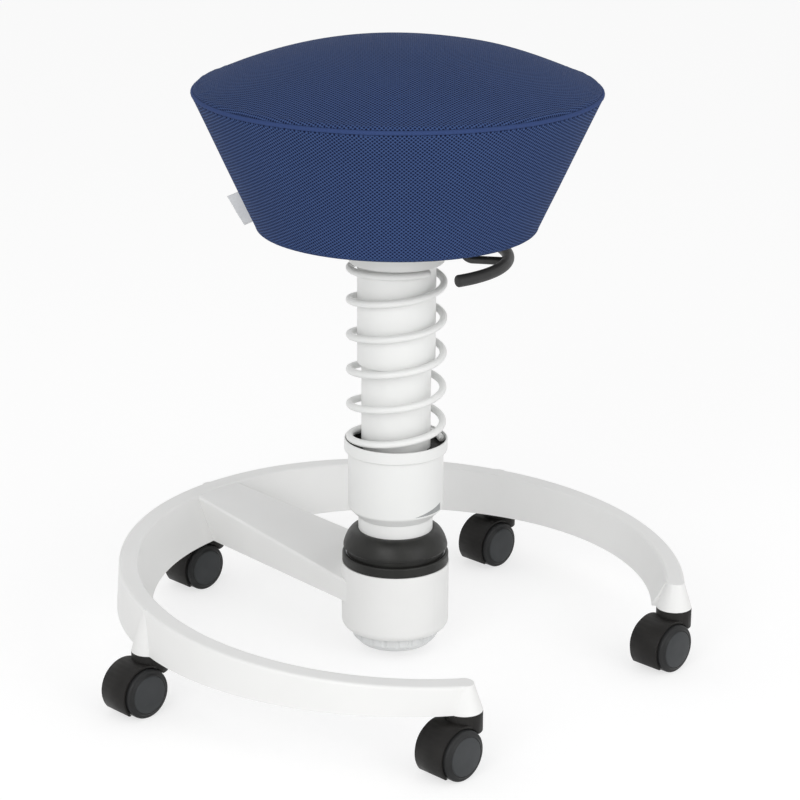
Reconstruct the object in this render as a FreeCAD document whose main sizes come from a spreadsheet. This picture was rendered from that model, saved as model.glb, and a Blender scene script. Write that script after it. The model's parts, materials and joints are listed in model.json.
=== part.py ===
"""Wobble stool on a C-shaped caster ring, as a parametric assembly in millimetres.

The origin lies on the floor under the column's axis and +Z is up. The ring's arm runs along -X
and the ring opens towards +X. Every driving dimension is a cell of the sizes sheet.
"""
import FreeCAD, Part
import math
import os
import re

import Sketcher

V = FreeCAD.Vector
X_AXIS = V(1, 0, 0)
Y_AXIS = V(0, 1, 0)
Z_AXIS = V(0, 0, 1)

# Each size is written once: its name, its value and what it is.
SIZES = {
    # Casters
    "caster_circle": (282, "radius of the circle of caster stems"),
    "caster_offset": (5, "that circle's centre from the column's axis, towards the opening"),
    "caster_height": (60, "floor to the face of a caster boss"),
    "caster_heading": (-3.5, "heading of the parked wheels' axles, degrees from +X"),
    "boss_radius": (18, "radius of a caster boss at its face"),
    "boss_top_radius": (9, "radius of a boss where it runs out in the ring's top"),
    "wheel_radius": (25, "caster wheel, outer radius"),
    "wheel_width": (16.4, "caster wheel, tread width"),
    "wheel_gap": (4.6, "inner face of a wheel from the caster's middle plane"),
    "wheel_cap_radius": (19, "raised centre of a wheel's outer face"),
    "wheel_cap_rise": (2.2, "how far the wheel's centre stands out"),
    "wheel_cap_edge": (2.6, "width of the sloping edge round that centre"),
    "wheel_round": (2.2, "rounding of a wheel's outer shoulder"),
    "trail": (19.5, "caster trail, stem axis to axle"),
    "hood_radius": (28, "caster hood, outer radius about the axle"),
    "hood_half_width": (17, "half of the hood's width"),
    "hood_foot": (7, "height of the hood's lower edge"),
    "hood_front": (9, "hood's front edge from the axle, where it ends over the wheels"),
    "well_clearance": (0.9, "gap between a wheel and its hood"),
    "web_half": (4.2, "half of the web between the wheels"),
    "neck_radius": (18, "caster neck under the boss"),
    "neck_bottom": (40, "height of the neck's lower end"),
    "neck_gap": (0.4, "gap between the neck and its boss"),
    "stem_radius": (5, "caster stem"),
    "stem_bottom": (46, "height of the stem's lower end"),
    "stem_reach": (16.5, "how far the stem goes up into its socket"),
    "socket_radius": (8, "outer radius of the sleeve that holds a stem"),
    "socket_depth": (18.5, "length of that sleeve"),
    "axle_radius": (3, "caster axle"),
    "axle_half": (19.5, "half of an axle's length"),
    "running_gap": (0.05, "radial clearance of every turning or sliding fit"),
    # Ring, arm and hub casting
    "ring_offset": (9.5, "ring's centre from the column's axis, towards the opening"),
    "ring_outer_foot": (291.5, "ring's outer radius at its lower edge"),
    "ring_inner_foot": (255.5, "ring's inner radius at its lower edge"),
    "ring_outer_top": (288.5, "ring's outer radius at its top"),
    "ring_inner_top": (269.7, "ring's inner radius at its top"),
    "ring_top": (99.2, "height of the ring's sloping top plane on the column's axis"),
    "ring_slope": (2.9, "slope of the ring's top, degrees, rising towards the arm"),
    "ring_round": (3, "rounding of the ring's top edges"),
    "channel_wall": (8.5, "wall left each side of the channel under the ring"),
    "channel_depth": (12, "depth of that channel"),
    "arm_end": (268, "arm's outer end from the column's axis, inside the ring's wall"),
    "arm_end_drop": (0.8, "arm's top below the ring's top at that end"),
    "arm_root": (20, "arm's inner end from the column's axis, inside the hub"),
    "arm_root_top": (82, "arm's top at the hub"),
    "arm_root_half": (51, "half of the arm's width at the hub"),
    "arm_end_top_half": (30.5, "half of the arm's top width at the ring"),
    "arm_end_foot_half": (18, "half of the arm's lower width at the ring"),
    "arm_round": (2.5, "rounding of the arm's top edges"),
    "arm_wall": (14, "wall of the arm round the pocket under it"),
    "hub_radius": (55, "hub, outer radius"),
    "hub_top": (98, "hub's rim height"),
    "hub_bottom": (27, "hub's lower face"),
    "hub_round": (8.5, "rounding of the hub's lower edge"),
    "hub_floor": (10, "thickness of the hub's floor"),
    "hub_bore": (46.5, "radius of the hub's bore"),
    # Tilting joint and its rubber parts
    "pivot_height": (101, "height of the two tilt axes"),
    "carrier_radius": (51, "outer radius of the carrier ring in the hub's mouth"),
    "carrier_bore": (47, "bore of the carrier ring"),
    "carrier_bottom": (86, "lower face of the carrier ring"),
    "carrier_top": (107.5, "upper face of the carrier ring"),
    "gimbal_radius": (46, "outer radius of the gimbal ring"),
    "gimbal_bore": (39.5, "bore of the gimbal ring"),
    "gimbal_half": (6, "half of the gimbal ring's height"),
    "pin_radius": (4, "radius of the tilt pins"),
    "boot_ring_radius": (54.4, "rubber ring on the hub's rim, outer radius"),
    "boot_ring_height": (10.5, "height of that rubber ring"),
    "boot_gap": (6, "open groove between the rubber ring and the dome"),
    "dome_radius": (53.3, "rubber dome, outer radius at its lower edge"),
    "dome_wall": (1.6, "thickness of the rubber dome"),
    "dome_height": (19.4, "rubber dome, height"),
    "dome_skirt": (1.6, "upright skirt at the dome's lower edge"),
    "dome_neck_wall": (1.92, "thickness of the dome at its neck"),
    "bellows_wall": (0.9, "thickness of the sleeve behind the groove"),
    "bellows_radius": (49.8, "outer radius of the sleeve behind the groove"),
    "bellows_height": (8.5, "height of that sleeve"),
    "buffer_radius": (45, "rubber buffer under the column's foot"),
    "buffer_waist": (40, "rubber buffer at its waist"),
    "buffer_edge": (8, "straight edge of the buffer, and its step at the top"),
    "buffer_taper": (15, "distance from a face of the buffer to its waist"),
    "buffer_neck": (6, "straight part under the buffer's top"),
    "buffer_gap": (0.3, "gap above and below the rubber buffer"),
    "foot_radius": (37.9, "column's foot, outer radius"),
    "foot_bottom": (92, "column's foot, lower face"),
    "foot_floor": (5, "thickness of the foot's floor"),
    "foot_step": (110, "height of the ledge that carries the lower tube"),
    "foot_inner": (28, "radius of the hollow under that ledge"),
    # Column tubes and spring
    "lower_radius": (35, "lower tube, outer radius"),
    "lower_wall": (2.5, "lower tube, wall"),
    "lower_top": (362, "lower tube, top end"),
    "upper_radius": (39.3, "upper tube, outer radius"),
    "upper_wall": (2.7, "upper tube, wall"),
    "upper_bottom": (311, "upper tube, lower end"),
    "bush_length": (34, "length of the bush in the upper tube"),
    "cup_bottom": (148, "spring cup, lower face"),
    "cup_foot_radius": (38.6, "spring cup, radius of its lower face"),
    "cup_radius": (48.4, "spring cup, outer radius"),
    "cup_slope": (10, "height of the cup's sloping foot"),
    "cup_wall": (2, "spring cup, wall"),
    "cup_floor": (14, "length of the cup's hub on the tube"),
    "lip_bottom": (218, "lower edge of the cup's lip"),
    "lip_height": (12.8, "height of the lip"),
    "lip_radius": (52.3, "outer radius of the lip"),
    "lip_wall": (1.3, "wall of the lip"),
    "lip_ledge": (1.2, "thickness of the ledge in the lip"),
    "seat_ring_height": (3, "thickness of the ring that the spring stands on"),
    "part_gap": (0.3, "gap between faces that move past each other"),
    "spring_radius": (46.9, "spring, radius of the coil's centre line"),
    "wire_radius": (3.65, "spring wire, radius"),
    "spring_pitch": (36.3, "rise of one open turn"),
    "end_turns": (0.75, "turns at each end in which the pitch runs out"),
    "spring_phase": (52.6, "bearing at which the lower end starts, degrees"),
    "collar_bottom": (415, "top collar, lower face"),
    "collar_radius": (47.5, "top collar, outer radius"),
    "collar_height": (26, "top collar, height"),
    "collar_floor": (8, "thickness of the collar's cover"),
    "guide_radius": (25, "guide tube, outer radius"),
    "guide_wall": (3, "guide tube, wall"),
    "guide_bottom": (205, "guide tube, lower face"),
    "guide_floor": (4, "thickness of the guide tube's floor"),
    "bush_height": (41, "length of the bush round the gas cylinder"),
    # Gas spring
    "rod_radius": (5, "piston rod"),
    "rod_tail": (4, "rod below the guide tube's floor"),
    "bearing_height": (5.8, "thrust bearing, height"),
    "bearing_radius": (12, "thrust bearing, outer radius"),
    "flange_radius": (9, "flange of the rod on its bearing"),
    "flange_height": (2, "thickness of that flange"),
    "piston_bottom": (430, "piston, lower face"),
    "piston_height": (10, "piston, height"),
    "clip_height": (1.6, "retaining clip, thickness"),
    "clip_radius": (8.5, "retaining clip, outer radius"),
    "cylinder_radius": (14.1, "gas cylinder, outer radius"),
    "cylinder_bore": (11, "gas cylinder, bore"),
    "cylinder_bottom": (250, "gas cylinder, lower end"),
    "cylinder_cap": (6, "thickness of its lower cap"),
    "cylinder_top": (480, "gas cylinder, upper end"),
    "chamber_top": (452, "top of its gas chamber"),
    "taper_start": (444, "height where its taper starts"),
    "taper_end_radius": (13.2, "radius at the taper's upper end"),
    "valve_radius": (3, "valve pin"),
    "valve_rise": (2.9, "valve pin above the cylinder"),
    "valve_play": (2.6, "free play between the lever's rod and the valve pin"),
    # Seat
    "seat_bottom": (449.4, "seat, lower edge"),
    "seat_foot_radius": (137.7, "seat, radius at its lower edge"),
    "rim_lift": (1, "side cover's upper edge above the pan"),
    "seat_rim_radius": (198.7, "side cover's radius there"),
    "side_thick": (2.5, "thickness of the side cover with its lining"),
    "shell_wall": (4.5, "wall of the seat's conical shell"),
    "shell_rounding": (4, "rounding of the side cover's lower edge"),
    "flange_bottom": (465, "lower face of the shell's inner flange"),
    "shell_flange": (4, "thickness of that flange"),
    "shell_flange_bore": (82, "bore of that flange"),
    "pan_bottom": (570, "seat pan, lower face"),
    "pan_thick": (12, "seat pan, thickness"),
    "pan_gap": (0.2, "gap between the pan and the side cover"),
    "piping_radius": (197.8, "radius of the piping's centre line"),
    "piping_half": (2.2, "radius of the piping's cord"),
    "seam_lift": (3.3, "piping's centre line above the pan"),
    "crown_lift": (3.5, "piping's centre line to where the crown's curve would reach its edge"),
    "crown_rise": (45.6, "rise of the crown above that height"),
    "crown_edge_radius": (197.4, "crown's radius at the piping"),
    "crown_roll": (6, "width of the crown's drawn-in edge"),
    "top_thick": (2.5, "thickness of the top cover with its lining"),
    "plate_radius": (95, "mechanism plate, radius"),
    "plate_thick": (4, "mechanism plate, thickness"),
    "plate_socket": (20, "mechanism plate's socket, outer radius"),
    "socket_bottom": (443.5, "lower end of that socket"),
    "socket_top": (478, "upper end of that socket"),
    "screw_circle": (88.5, "radius of the circle of seat screws"),
    "screw_turn": (-11, "bearing of the first seat screw, degrees"),
    "screw_radius": (3, "seat screw, shank"),
    "screw_head": (5.5, "seat screw, head"),
    "screw_head_height": (3.2, "seat screw, height of the head"),
    "cover_thick": (3, "bottom cover, thickness"),
    "cover_bore": (24, "bottom cover, bore for the column"),
    "tag_bearing": (221.6, "bearing of the fabric tag, degrees"),
    "tag_length": (33, "fabric tag along the side"),
    "tag_reach": (13, "how far the tag stands out"),
    "tag_thick": (0.9, "fabric tag, thickness"),
    "tag_lift": (2.4, "tag above the seat's lower edge"),
    # Height lever
    "lever_bearing": (31.6, "bearing of the lever's arm, degrees"),
    "lever_rod_radius": (4, "lever's rod"),
    "lever_start": (6, "how far the rod passes the valve pin"),
    "lever_pivot": (32, "lever's pivot from the column's axis"),
    "lever_drop_at": (66, "radius where the rod turns down"),
    "lever_bend": (10, "bend radius of the rod's centre line"),
    "lever_eye": (7, "radius of the eye on the pivot"),
    "lever_eye_half": (5, "half of the eye's width"),
    "ear_thick": (3, "thickness of a bracket ear"),
    "ear_half": (6, "half of an ear's length"),
    "ear_rise": (6.5, "ear above the pivot's axis"),
    "pivot_pin_radius": (3, "pivot pin"),
    "slot_margin": (5, "room round the rod in the plate and the bottom cover"),
    "grip_height": (419.7, "height of the bow's centre line"),
    "grip_circle": (110, "radius of the bow's centre line"),
    "grip_radius": (6, "radius of the bow's section"),
    "grip_half_angle": (48.7, "half of the bow's arc, degrees"),
    "grip_round": (2.5, "rounding of the bow's ends"),
    # Preload knob under the hub
    "knob_radius": (43.6, "knob, outer radius"),
    "knob_face_radius": (37, "knob, radius of its lower face"),
    "knob_bottom": (11, "knob, lower face"),
    "knob_slope": (7, "height of the knob's sloping edge"),
    "knob_sleeve": (13.9, "knob's sleeve through the hub's floor"),
    "sleeve_top": (39.6, "upper end of that sleeve"),
    "knob_floor": (11, "thickness of the knob under its bore"),
    "knob_clip_radius": (17.5, "clip that holds the knob, outer radius"),
    "grip_notch": (3.2, "radius of a finger notch in the knob's edge"),
    "push_radius": (8, "push rod of the pressure plate"),
    "push_bottom": (24, "lower end of the push rod"),
    "pressure_radius": (46.2, "pressure plate, radius"),
    "pressure_bottom": (45, "pressure plate, lower face"),
    "pressure_thick": (4, "pressure plate, thickness"),
}

# Heights that follow from the seat's pan
PAN_TOP = "(pan_bottom + pan_thick)"
RIM = "(pan_bottom + pan_thick + rim_lift)"
SEAM = "(pan_bottom + pan_thick + seam_lift)"
CROWN_BASE = "(pan_bottom + pan_thick + seam_lift + crown_lift)"

CASTER_BEARINGS = (36, 108, 180, 252, 324)
SCREW_BEARINGS = (0, 90, 180, 270)
KNOB_NOTCHES = 20

doc = FreeCAD.newDocument("wobble_stool")
sheet = doc.addObject("Spreadsheet::Sheet", "sizes")
for row, (name, (value, meaning)) in enumerate(SIZES.items(), start=1):
    sheet.set("A%d" % row, meaning)
    sheet.set("B%d" % row, str(value))
    sheet.setAlias("B%d" % row, name)
doc.recompute()

nodes = []


def mm(name):
    """A size read from the sheet."""
    return float(sheet.get(name))


def summed(text):
    """The sum of the sizes that a text names."""
    return sum(mm(name) for name in re.findall(r"[a-z_]+", text))


def bind(item, prop, text):
    """Bind a property to an expression written with the sheet's names."""
    words = re.sub(r"[a-z_]+", lambda word: ("sizes." if word.group() in SIZES else "") + word.group(), text)
    item.setExpression(prop, words)


def place(item, x="0", y="0", z="0", axis=Z_AXIS, angle="0"):
    """Bind where an item stands and how it is turned."""
    item.Placement = FreeCAD.Placement(V(0, 0, 0), FreeCAD.Rotation(axis, 1))
    bind(item, ".Placement.Base.x", x)
    bind(item, ".Placement.Base.y", y)
    bind(item, ".Placement.Base.z", z)
    bind(item, ".Placement.Rotation.Angle", angle)
    return item


def new(kind, label):
    item = doc.addObject(kind, label)
    item.Label = label
    return item


def node(item):
    """Keep an item as one of the stool's pieces."""
    nodes.append(item)
    return item


def cylinder(label, radius, height, **where):
    item = new("Part::Cylinder", label)
    bind(item, "Radius", radius)
    bind(item, "Height", height)
    return place(item, **where)


def box(label, length, width, height, **where):
    item = new("Part::Box", label)
    bind(item, "Length", length)
    bind(item, "Width", width)
    bind(item, "Height", height)
    return place(item, **where)


def circle(label, radius, **where):
    item = new("Part::Circle", label)
    bind(item, "Radius", radius)
    return place(item, **where)


def loft(label, low, high):
    item = new("Part::Loft", label)
    item.Sections = [low, high]
    item.Solid = True
    item.Ruled = True
    return item


def joined(label, *parts):
    item = new("Part::MultiFuse", label)
    item.Shapes = list(parts)
    return item


def cut(label, base, *tools):
    item = new("Part::Cut", label)
    item.Base = base
    item.Tool = tools[0] if len(tools) == 1 else joined(label + "_cutters", *tools)
    return item


def group(label, *parts):
    item = new("Part::Compound", label)
    item.Links = list(parts)
    return item


def formed(label, shape):
    """A piece whose shape is worked out here from the sheet's values."""
    item = new("Part::Feature", label)
    item.Shape = shape
    return item


def lathe(label, outline, rounds=None):
    """A turned piece: straight lines through (radius, height) corners, turned about the Z axis."""
    body = new("PartDesign::Body", label)
    sketch = body.newObject("Sketcher::SketchObject", label + "_outline")
    plane = next(item for item in body.Origin.OriginFeatures if item.Role == "XZ_Plane")
    sketch.AttachmentSupport = [(plane, "")]
    sketch.MapMode = "FlatFace"
    count = len(outline)
    start = [V(10 + 7 * index, 5 * index * index, 0) for index in range(count)]
    for index in range(count):
        sketch.addGeometry(Part.LineSegment(start[index], start[(index + 1) % count]), False)
    for index in range(count):
        sketch.addConstraint(Sketcher.Constraint("Coincident", index, 2, (index + 1) % count, 1))
    for index, (radius, height) in enumerate(outline):
        across = Sketcher.Constraint("DistanceX", -1, 1, index, 1, start[index].x)
        across.Name = "across_%d" % index
        up = Sketcher.Constraint("DistanceY", -1, 1, index, 1, start[index].y)
        up.Name = "up_%d" % index
        sketch.addConstraint(across)
        sketch.addConstraint(up)
        bind(sketch, "Constraints.across_%d" % index, radius)
        bind(sketch, "Constraints.up_%d" % index, height)
    turned = body.newObject("PartDesign::Revolution", label + "_turned")
    turned.Profile = sketch
    turned.ReferenceAxis = (sketch, ["V_Axis"])
    turned.Angle = 360
    doc.recompute()
    last = turned
    for index, radius in (rounds or {}).items():
        corner = sketch.Geometry[index].StartPoint
        last = round_off(body, last, label + "_round_%d" % index, corner.x, corner.y, radius)
    body.Tip = last
    return body


def round_off(body, base, label, radius_at, height_at, radius):
    """Round the circular edge that a corner of the outline leaves."""
    names = []
    for number, edge in enumerate(base.Shape.Edges, start=1):
        is_circle = isinstance(edge.Curve, Part.Circle)
        if is_circle and abs(edge.Curve.Radius - radius_at) < 0.01 and abs(edge.Curve.Center.z - height_at) < 0.01:
            names.append("Edge%d" % number)
    rounding = body.newObject("PartDesign::Fillet", label)
    rounding.Base = (base, names)
    bind(rounding, "Radius", radius)
    doc.recompute()
    return rounding


def ring_top_text(x):
    """Height of the ring's sloping top plane over a place x."""
    return "ring_top - tan(ring_slope) * (%s)" % x


def ring_top_at(x):
    return mm("ring_top") - math.tan(math.radians(mm("ring_slope"))) * x


def cone_radius(height, inset="0"):
    """Radius of the seat's side at a height, less an inset."""
    rise = "(%s - seat_bottom) / (%s - seat_bottom)" % (height, RIM)
    return "seat_foot_radius + (seat_rim_radius - seat_foot_radius) * %s - (%s)" % (rise, inset)


def biarc(start, start_way, end, end_way):
    """Two arcs that join two points and keep both directions."""
    chord = end - start
    ways = start_way + end_way
    square = 2.0 * (1.0 - start_way.dot(end_way))
    mixed = chord.dot(ways)
    reach = (-mixed + math.sqrt(mixed * mixed + square * chord.dot(chord))) / square
    middle = (start + end + (start_way - end_way) * reach) * 0.5
    return tangent_arc(start, start_way, middle), tangent_arc(end, end_way * -1.0, middle, True)


def tangent_arc(start, way, end, backwards=False):
    """An arc from one point that leaves along a direction and reaches the other."""
    chord = end - start
    across = chord - way * chord.dot(way)
    across.normalize()
    radius = chord.dot(chord) / (2.0 * chord.dot(across))
    centre = start + across * radius
    outward = start + end - centre * 2.0
    outward.normalize()
    middle = centre + outward * radius
    if backwards:
        return Part.Arc(end, middle, start)
    return Part.Arc(start, middle, end)


def turned_profile(edges):
    """A solid turned from a closed outline in the XZ plane."""
    face = Part.Face(Part.Wire([edge.toShape() for edge in edges]))
    return face.revolve(V(0, 0, 0), Z_AXIS, 360)


def on_profile(radius, height):
    return V(radius, 0, height)


def line(start, end):
    return Part.LineSegment(start, end)


# Base casting


def stem_x(bearing):
    return "(caster_offset + caster_circle * cos(%g))" % bearing


def stem_y(bearing):
    return "caster_circle * sin(%g)" % bearing


def boss(number, bearing):
    """A conical caster boss that runs out in the ring's top."""
    # The boss leans from the stem's circle to the ring's own centre line.
    middle = "(ring_outer_top + ring_inner_top) / 2"
    from_ring_x = "(%s - ring_offset)" % stem_x(bearing)
    from_ring = "sqrt(%s^2 + (%s)^2)" % (from_ring_x, stem_y(bearing))
    top_x = "ring_offset + %s * %s / %s" % (middle, from_ring_x, from_ring)
    top_y = "%s * (%s) / %s" % (middle, stem_y(bearing), from_ring)
    low = circle("boss_%d_face" % number, "boss_radius", x=stem_x(bearing), y=stem_y(bearing),
                 z="caster_height")
    high = circle("boss_%d_top" % number, "boss_top_radius", x=top_x, y=top_y,
                  z=ring_top_text(top_x), axis=Y_AXIS, angle="ring_slope")
    return loft("boss_%d" % number, low, high)


def rounded(label, base, test, radius):
    """Round the edges of a base that pass a test."""
    doc.recompute()
    item = new("Part::Fillet", label)
    item.Base = base
    chosen = [number for number, edge in enumerate(base.Shape.Edges, start=1) if test(edge)]
    item.Edges = [(number, mm(radius), mm(radius)) for number in chosen]
    doc.recompute()
    return item


def ring_solid():
    """The full ring: a level foot and a top that slopes down towards the opening."""
    skins = []
    for side in ("outer", "inner"):
        low = circle("ring_%s_low" % side, "ring_%s_foot" % side, x="ring_offset", z="caster_height")
        high = circle("ring_%s_high" % side, "ring_%s_top" % side, x="ring_offset",
                      z=ring_top_text("ring_offset"), axis=Y_AXIS, angle="ring_slope")
        skins.append(loft("ring_%s_skin" % side, low, high))
    full = cut("ring_full", *skins)
    half_way = (mm("caster_height") + ring_top_at(mm("ring_offset"))) / 2
    ring = rounded("ring_rounded", full,
                   lambda edge: edge.isClosed() and edge.CenterOfMass.z > half_way, "ring_round")
    opening = new("Part::Cylinder", "ring_opening")
    bind(opening, "Radius", "ring_outer_foot * 1.3")
    bind(opening, "Height", "ring_top * 2")
    half = "atan(%s / (%s - ring_offset))" % (stem_y(CASTER_BEARINGS[0]), stem_x(CASTER_BEARINGS[0]))
    bind(opening, "Angle", "2 * " + half)
    place(opening, x="ring_offset", angle="-" + half)
    outer = cylinder("channel_outer", "ring_outer_foot - channel_wall", "2 * channel_depth",
                     x="ring_offset", z="caster_height - channel_depth")
    inner = cylinder("channel_inner", "ring_inner_foot + channel_wall", "2 * channel_depth",
                     x="ring_offset", z="caster_height - channel_depth")
    channel = cut("ring_channel", outer, inner)
    return cut("ring_open", ring, opening, channel)


def arm_section(x, top, top_half, foot, foot_half):
    """Four corners of the arm at a place x."""
    corners = [V(x, -foot_half, foot), V(x, foot_half, foot), V(x, top_half, top), V(x, -top_half, top)]
    return Part.makePolygon(corners + corners[:1])


def arm_solid():
    """The arm from hub to ring, with a pocket under it."""
    foot = mm("caster_height")
    end = -mm("arm_end")
    root = -mm("arm_root")
    wall = mm("arm_wall")
    end_top = ring_top_at(end) - mm("arm_end_drop")
    ends = (arm_section(root, mm("arm_root_top"), mm("arm_root_half"), foot, mm("arm_root_half")),
            arm_section(end, end_top, mm("arm_end_top_half"), foot, mm("arm_end_foot_half")))
    solid = Part.makeLoft(list(ends), True, True)
    long_top = [edge for edge in solid.Edges
                if edge.Length > 0.9 * (end - root) * -1 and edge.CenterOfMass.z > mm("arm_root_top")]
    solid = solid.makeFillet(mm("arm_round"), long_top)
    near = -(mm("hub_radius") + wall)
    far = end + (mm("ring_outer_foot") - mm("ring_inner_foot"))
    share = (near - root) / (end - root)
    near_half = mm("arm_root_half") + (mm("arm_end_foot_half") - mm("arm_root_half")) * share
    below = foot - wall
    pocket = Part.makeLoft(
        [arm_section(near, mm("arm_root_top") - wall, near_half - wall, below, near_half - wall),
         arm_section(far, end_top - 2 * wall, mm("arm_end_foot_half") - wall, below,
                     mm("arm_end_foot_half") - wall)], True, True)
    return formed("arm", solid.cut(pocket))


def base_frame():
    """Ring, arm and hub in one casting, with the bosses for the caster sockets."""
    ring = ring_solid()
    arm = arm_solid()
    hub_core = cylinder("hub_core", "hub_bore + 2", "hub_top", z="hub_bottom")
    arm_trimmed = cut("arm_trimmed", arm, hub_core)
    hub = lathe("hub", [
        ("knob_sleeve + running_gap", "hub_bottom"), ("hub_radius", "hub_bottom"),
        ("hub_radius", "hub_top"), ("carrier_radius", "hub_top"),
        ("carrier_radius", "carrier_bottom"), ("hub_bore", "carrier_bottom"),
        ("hub_bore", "hub_bottom + hub_floor"), ("knob_sleeve + running_gap", "hub_bottom + hub_floor"),
    ], {1: "hub_round"})
    bosses = [boss(number, bearing) for number, bearing in enumerate(CASTER_BEARINGS, start=1)]
    bores = [cylinder("socket_bore_%d" % number, "socket_radius", "socket_depth * 2",
                      x=stem_x(bearing), y=stem_y(bearing), z="caster_height - socket_depth")
             for number, bearing in enumerate(CASTER_BEARINGS, start=1)]
    casting = joined("casting", ring, arm_trimmed, hub, *bosses)
    return node(cut("base_frame", casting, *bores))


def caster_sockets():
    sleeves = []
    for number, bearing in enumerate(CASTER_BEARINGS, start=1):
        where = dict(x=stem_x(bearing), y=stem_y(bearing))
        outer = cylinder("socket_%d_outer" % number, "socket_radius", "socket_depth",
                         z="caster_height", **where)
        bore = cylinder("socket_%d_bore" % number, "stem_radius + running_gap",
                        "stem_reach + 1", z="caster_height - part_gap", **where)
        sleeves.append(cut("socket_%d" % number, outer, bore))
    return node(group("caster_sockets", *sleeves))


# Casters


def caster(number, bearing):
    """One hooded twin-wheel caster, parked with its axle along the heading."""
    name = "caster_%d_" % number
    spin = FreeCAD.Rotation(Z_AXIS, mm("caster_heading"))
    turn = math.radians(bearing)
    stem_at = V(mm("caster_offset") + mm("caster_circle") * math.cos(turn), mm("caster_circle") * math.sin(turn), 0)
    axle_along = dict(axis=Y_AXIS, angle="90", y="-trail", z="wheel_radius")
    drum = cylinder(name + "drum", "hood_radius", "2 * hood_half_width", x="-hood_half_width", **axle_along)
    neck = cylinder(name + "neck", "neck_radius", "caster_height - neck_gap - neck_bottom", z="neck_bottom")
    wells = [cylinder(name + "well_left", "wheel_radius + well_clearance", "neck_radius * 2",
                      x="-web_half - neck_radius * 2", **axle_along),
             cylinder(name + "well_right", "wheel_radius + well_clearance", "neck_radius * 2",
                      x="web_half", **axle_along)]
    below = box(name + "below", "4 * neck_radius", "4 * hood_radius", "hood_radius",
                x="-2 * neck_radius", y="-trail - 2 * hood_radius", z="hood_foot - hood_radius")
    front = box(name + "front", "4 * neck_radius", "2 * hood_radius", "neck_bottom * 2",
                x="-2 * neck_radius", y="-trail + hood_front", z="neck_bottom - neck_bottom * 2")
    stem_hole = cylinder(name + "stem_hole", "stem_radius", "caster_height", z="stem_bottom")
    axle_hole = cylinder(name + "axle_hole", "axle_radius", "4 * web_half", x="-2 * web_half", **axle_along)
    hood = cut(name + "hood", joined(name + "shell", drum, neck), *wells, below, front, stem_hole, axle_hole)
    stem = cylinder(name + "stem", "stem_radius", "caster_height + stem_reach - stem_bottom", z="stem_bottom")
    axle = cylinder(name + "axle", "axle_radius", "2 * axle_half", x="-axle_half", **axle_along)
    pins = group(name + "stem_and_axle", stem, axle)
    wheels = [wheel(name + "wheel_left", -1), wheel(name + "wheel_right", 1)]
    for piece in (hood, pins):
        piece.Placement = FreeCAD.Placement(stem_at, spin)
        bind(piece, ".Placement.Base.x", stem_x(bearing))
        bind(piece, ".Placement.Base.y", stem_y(bearing))
        bind(piece, ".Placement.Rotation.Angle", "caster_heading")
        node(piece)
    for piece, side in zip(wheels, (-1, 1)):
        lay = FreeCAD.Rotation(Y_AXIS, 90 * side)
        piece.Placement = FreeCAD.Placement(V(0, 0, 0), spin.multiply(lay))
        bind(piece, ".Placement.Base.x", stem_x(bearing) + " + trail * sin(caster_heading)")
        bind(piece, ".Placement.Base.y", stem_y(bearing) + " - trail * cos(caster_heading)")
        bind(piece, ".Placement.Base.z", "wheel_radius")
        node(piece)


def wheel(label, side):
    """A wheel turned about its own axle, with a raised centre on its outer face."""
    face = "wheel_gap + wheel_width"
    return lathe(label, [
        ("axle_radius + running_gap", "wheel_gap"), ("wheel_radius", "wheel_gap"),
        ("wheel_radius", face), ("wheel_cap_radius + wheel_cap_edge", face),
        ("wheel_cap_radius", face + " + wheel_cap_rise"), ("0", face + " + wheel_cap_rise"),
        ("0", "axle_half + part_gap"), ("axle_radius + running_gap", "axle_half + part_gap"),
    ], {2: "wheel_round"})


# Tilting joint


def pin_bores(label, radius, x_reach, y_reach):
    """Two bores along X and two along Y at the pivot's height."""
    along_x = cylinder(label + "_x", radius, "2 * " + x_reach, x="-" + x_reach, z="pivot_height",
                       axis=Y_AXIS, angle="90")
    along_y = cylinder(label + "_y", radius, "2 * " + y_reach, y=y_reach, z="pivot_height",
                       axis=X_AXIS, angle="90")
    return along_x, along_y


def tilt_joint():
    carrier = lathe("tilt_carrier_ring", [
        ("carrier_bore", "carrier_bottom"), ("carrier_radius", "carrier_bottom"),
        ("carrier_radius", "carrier_top"), ("carrier_bore", "carrier_top")])
    carrier_bore = pin_bores("carrier_pin_bore", "pin_radius + running_gap", "carrier_radius", "carrier_radius")[0]
    node(cut("tilt_carrier", carrier, carrier_bore))
    ring = lathe("gimbal_ring_blank", [
        ("gimbal_bore", "pivot_height - gimbal_half"), ("gimbal_radius", "pivot_height - gimbal_half"),
        ("gimbal_radius", "pivot_height + gimbal_half"), ("gimbal_bore", "pivot_height + gimbal_half")])
    node(cut("gimbal_ring", ring, *pin_bores("gimbal_pin_bore", "pin_radius", "carrier_radius", "carrier_radius")))
    pins = []
    for side, turn in (("right", 90), ("left", -90)):
        sign = "" if turn > 0 else "-"
        pins.append(cylinder("pin_x_" + side, "pin_radius", "carrier_radius - neck_gap - gimbal_bore",
                             x=sign + "gimbal_bore", z="pivot_height", axis=Y_AXIS, angle=str(turn)))
        pins.append(cylinder("pin_y_" + side, "pin_radius", "gimbal_radius - foot_inner - part_gap",
                             y=sign + "(foot_inner + part_gap)", z="pivot_height", axis=X_AXIS, angle=str(-turn)))
    node(group("gimbal_pins", *pins))


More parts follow.
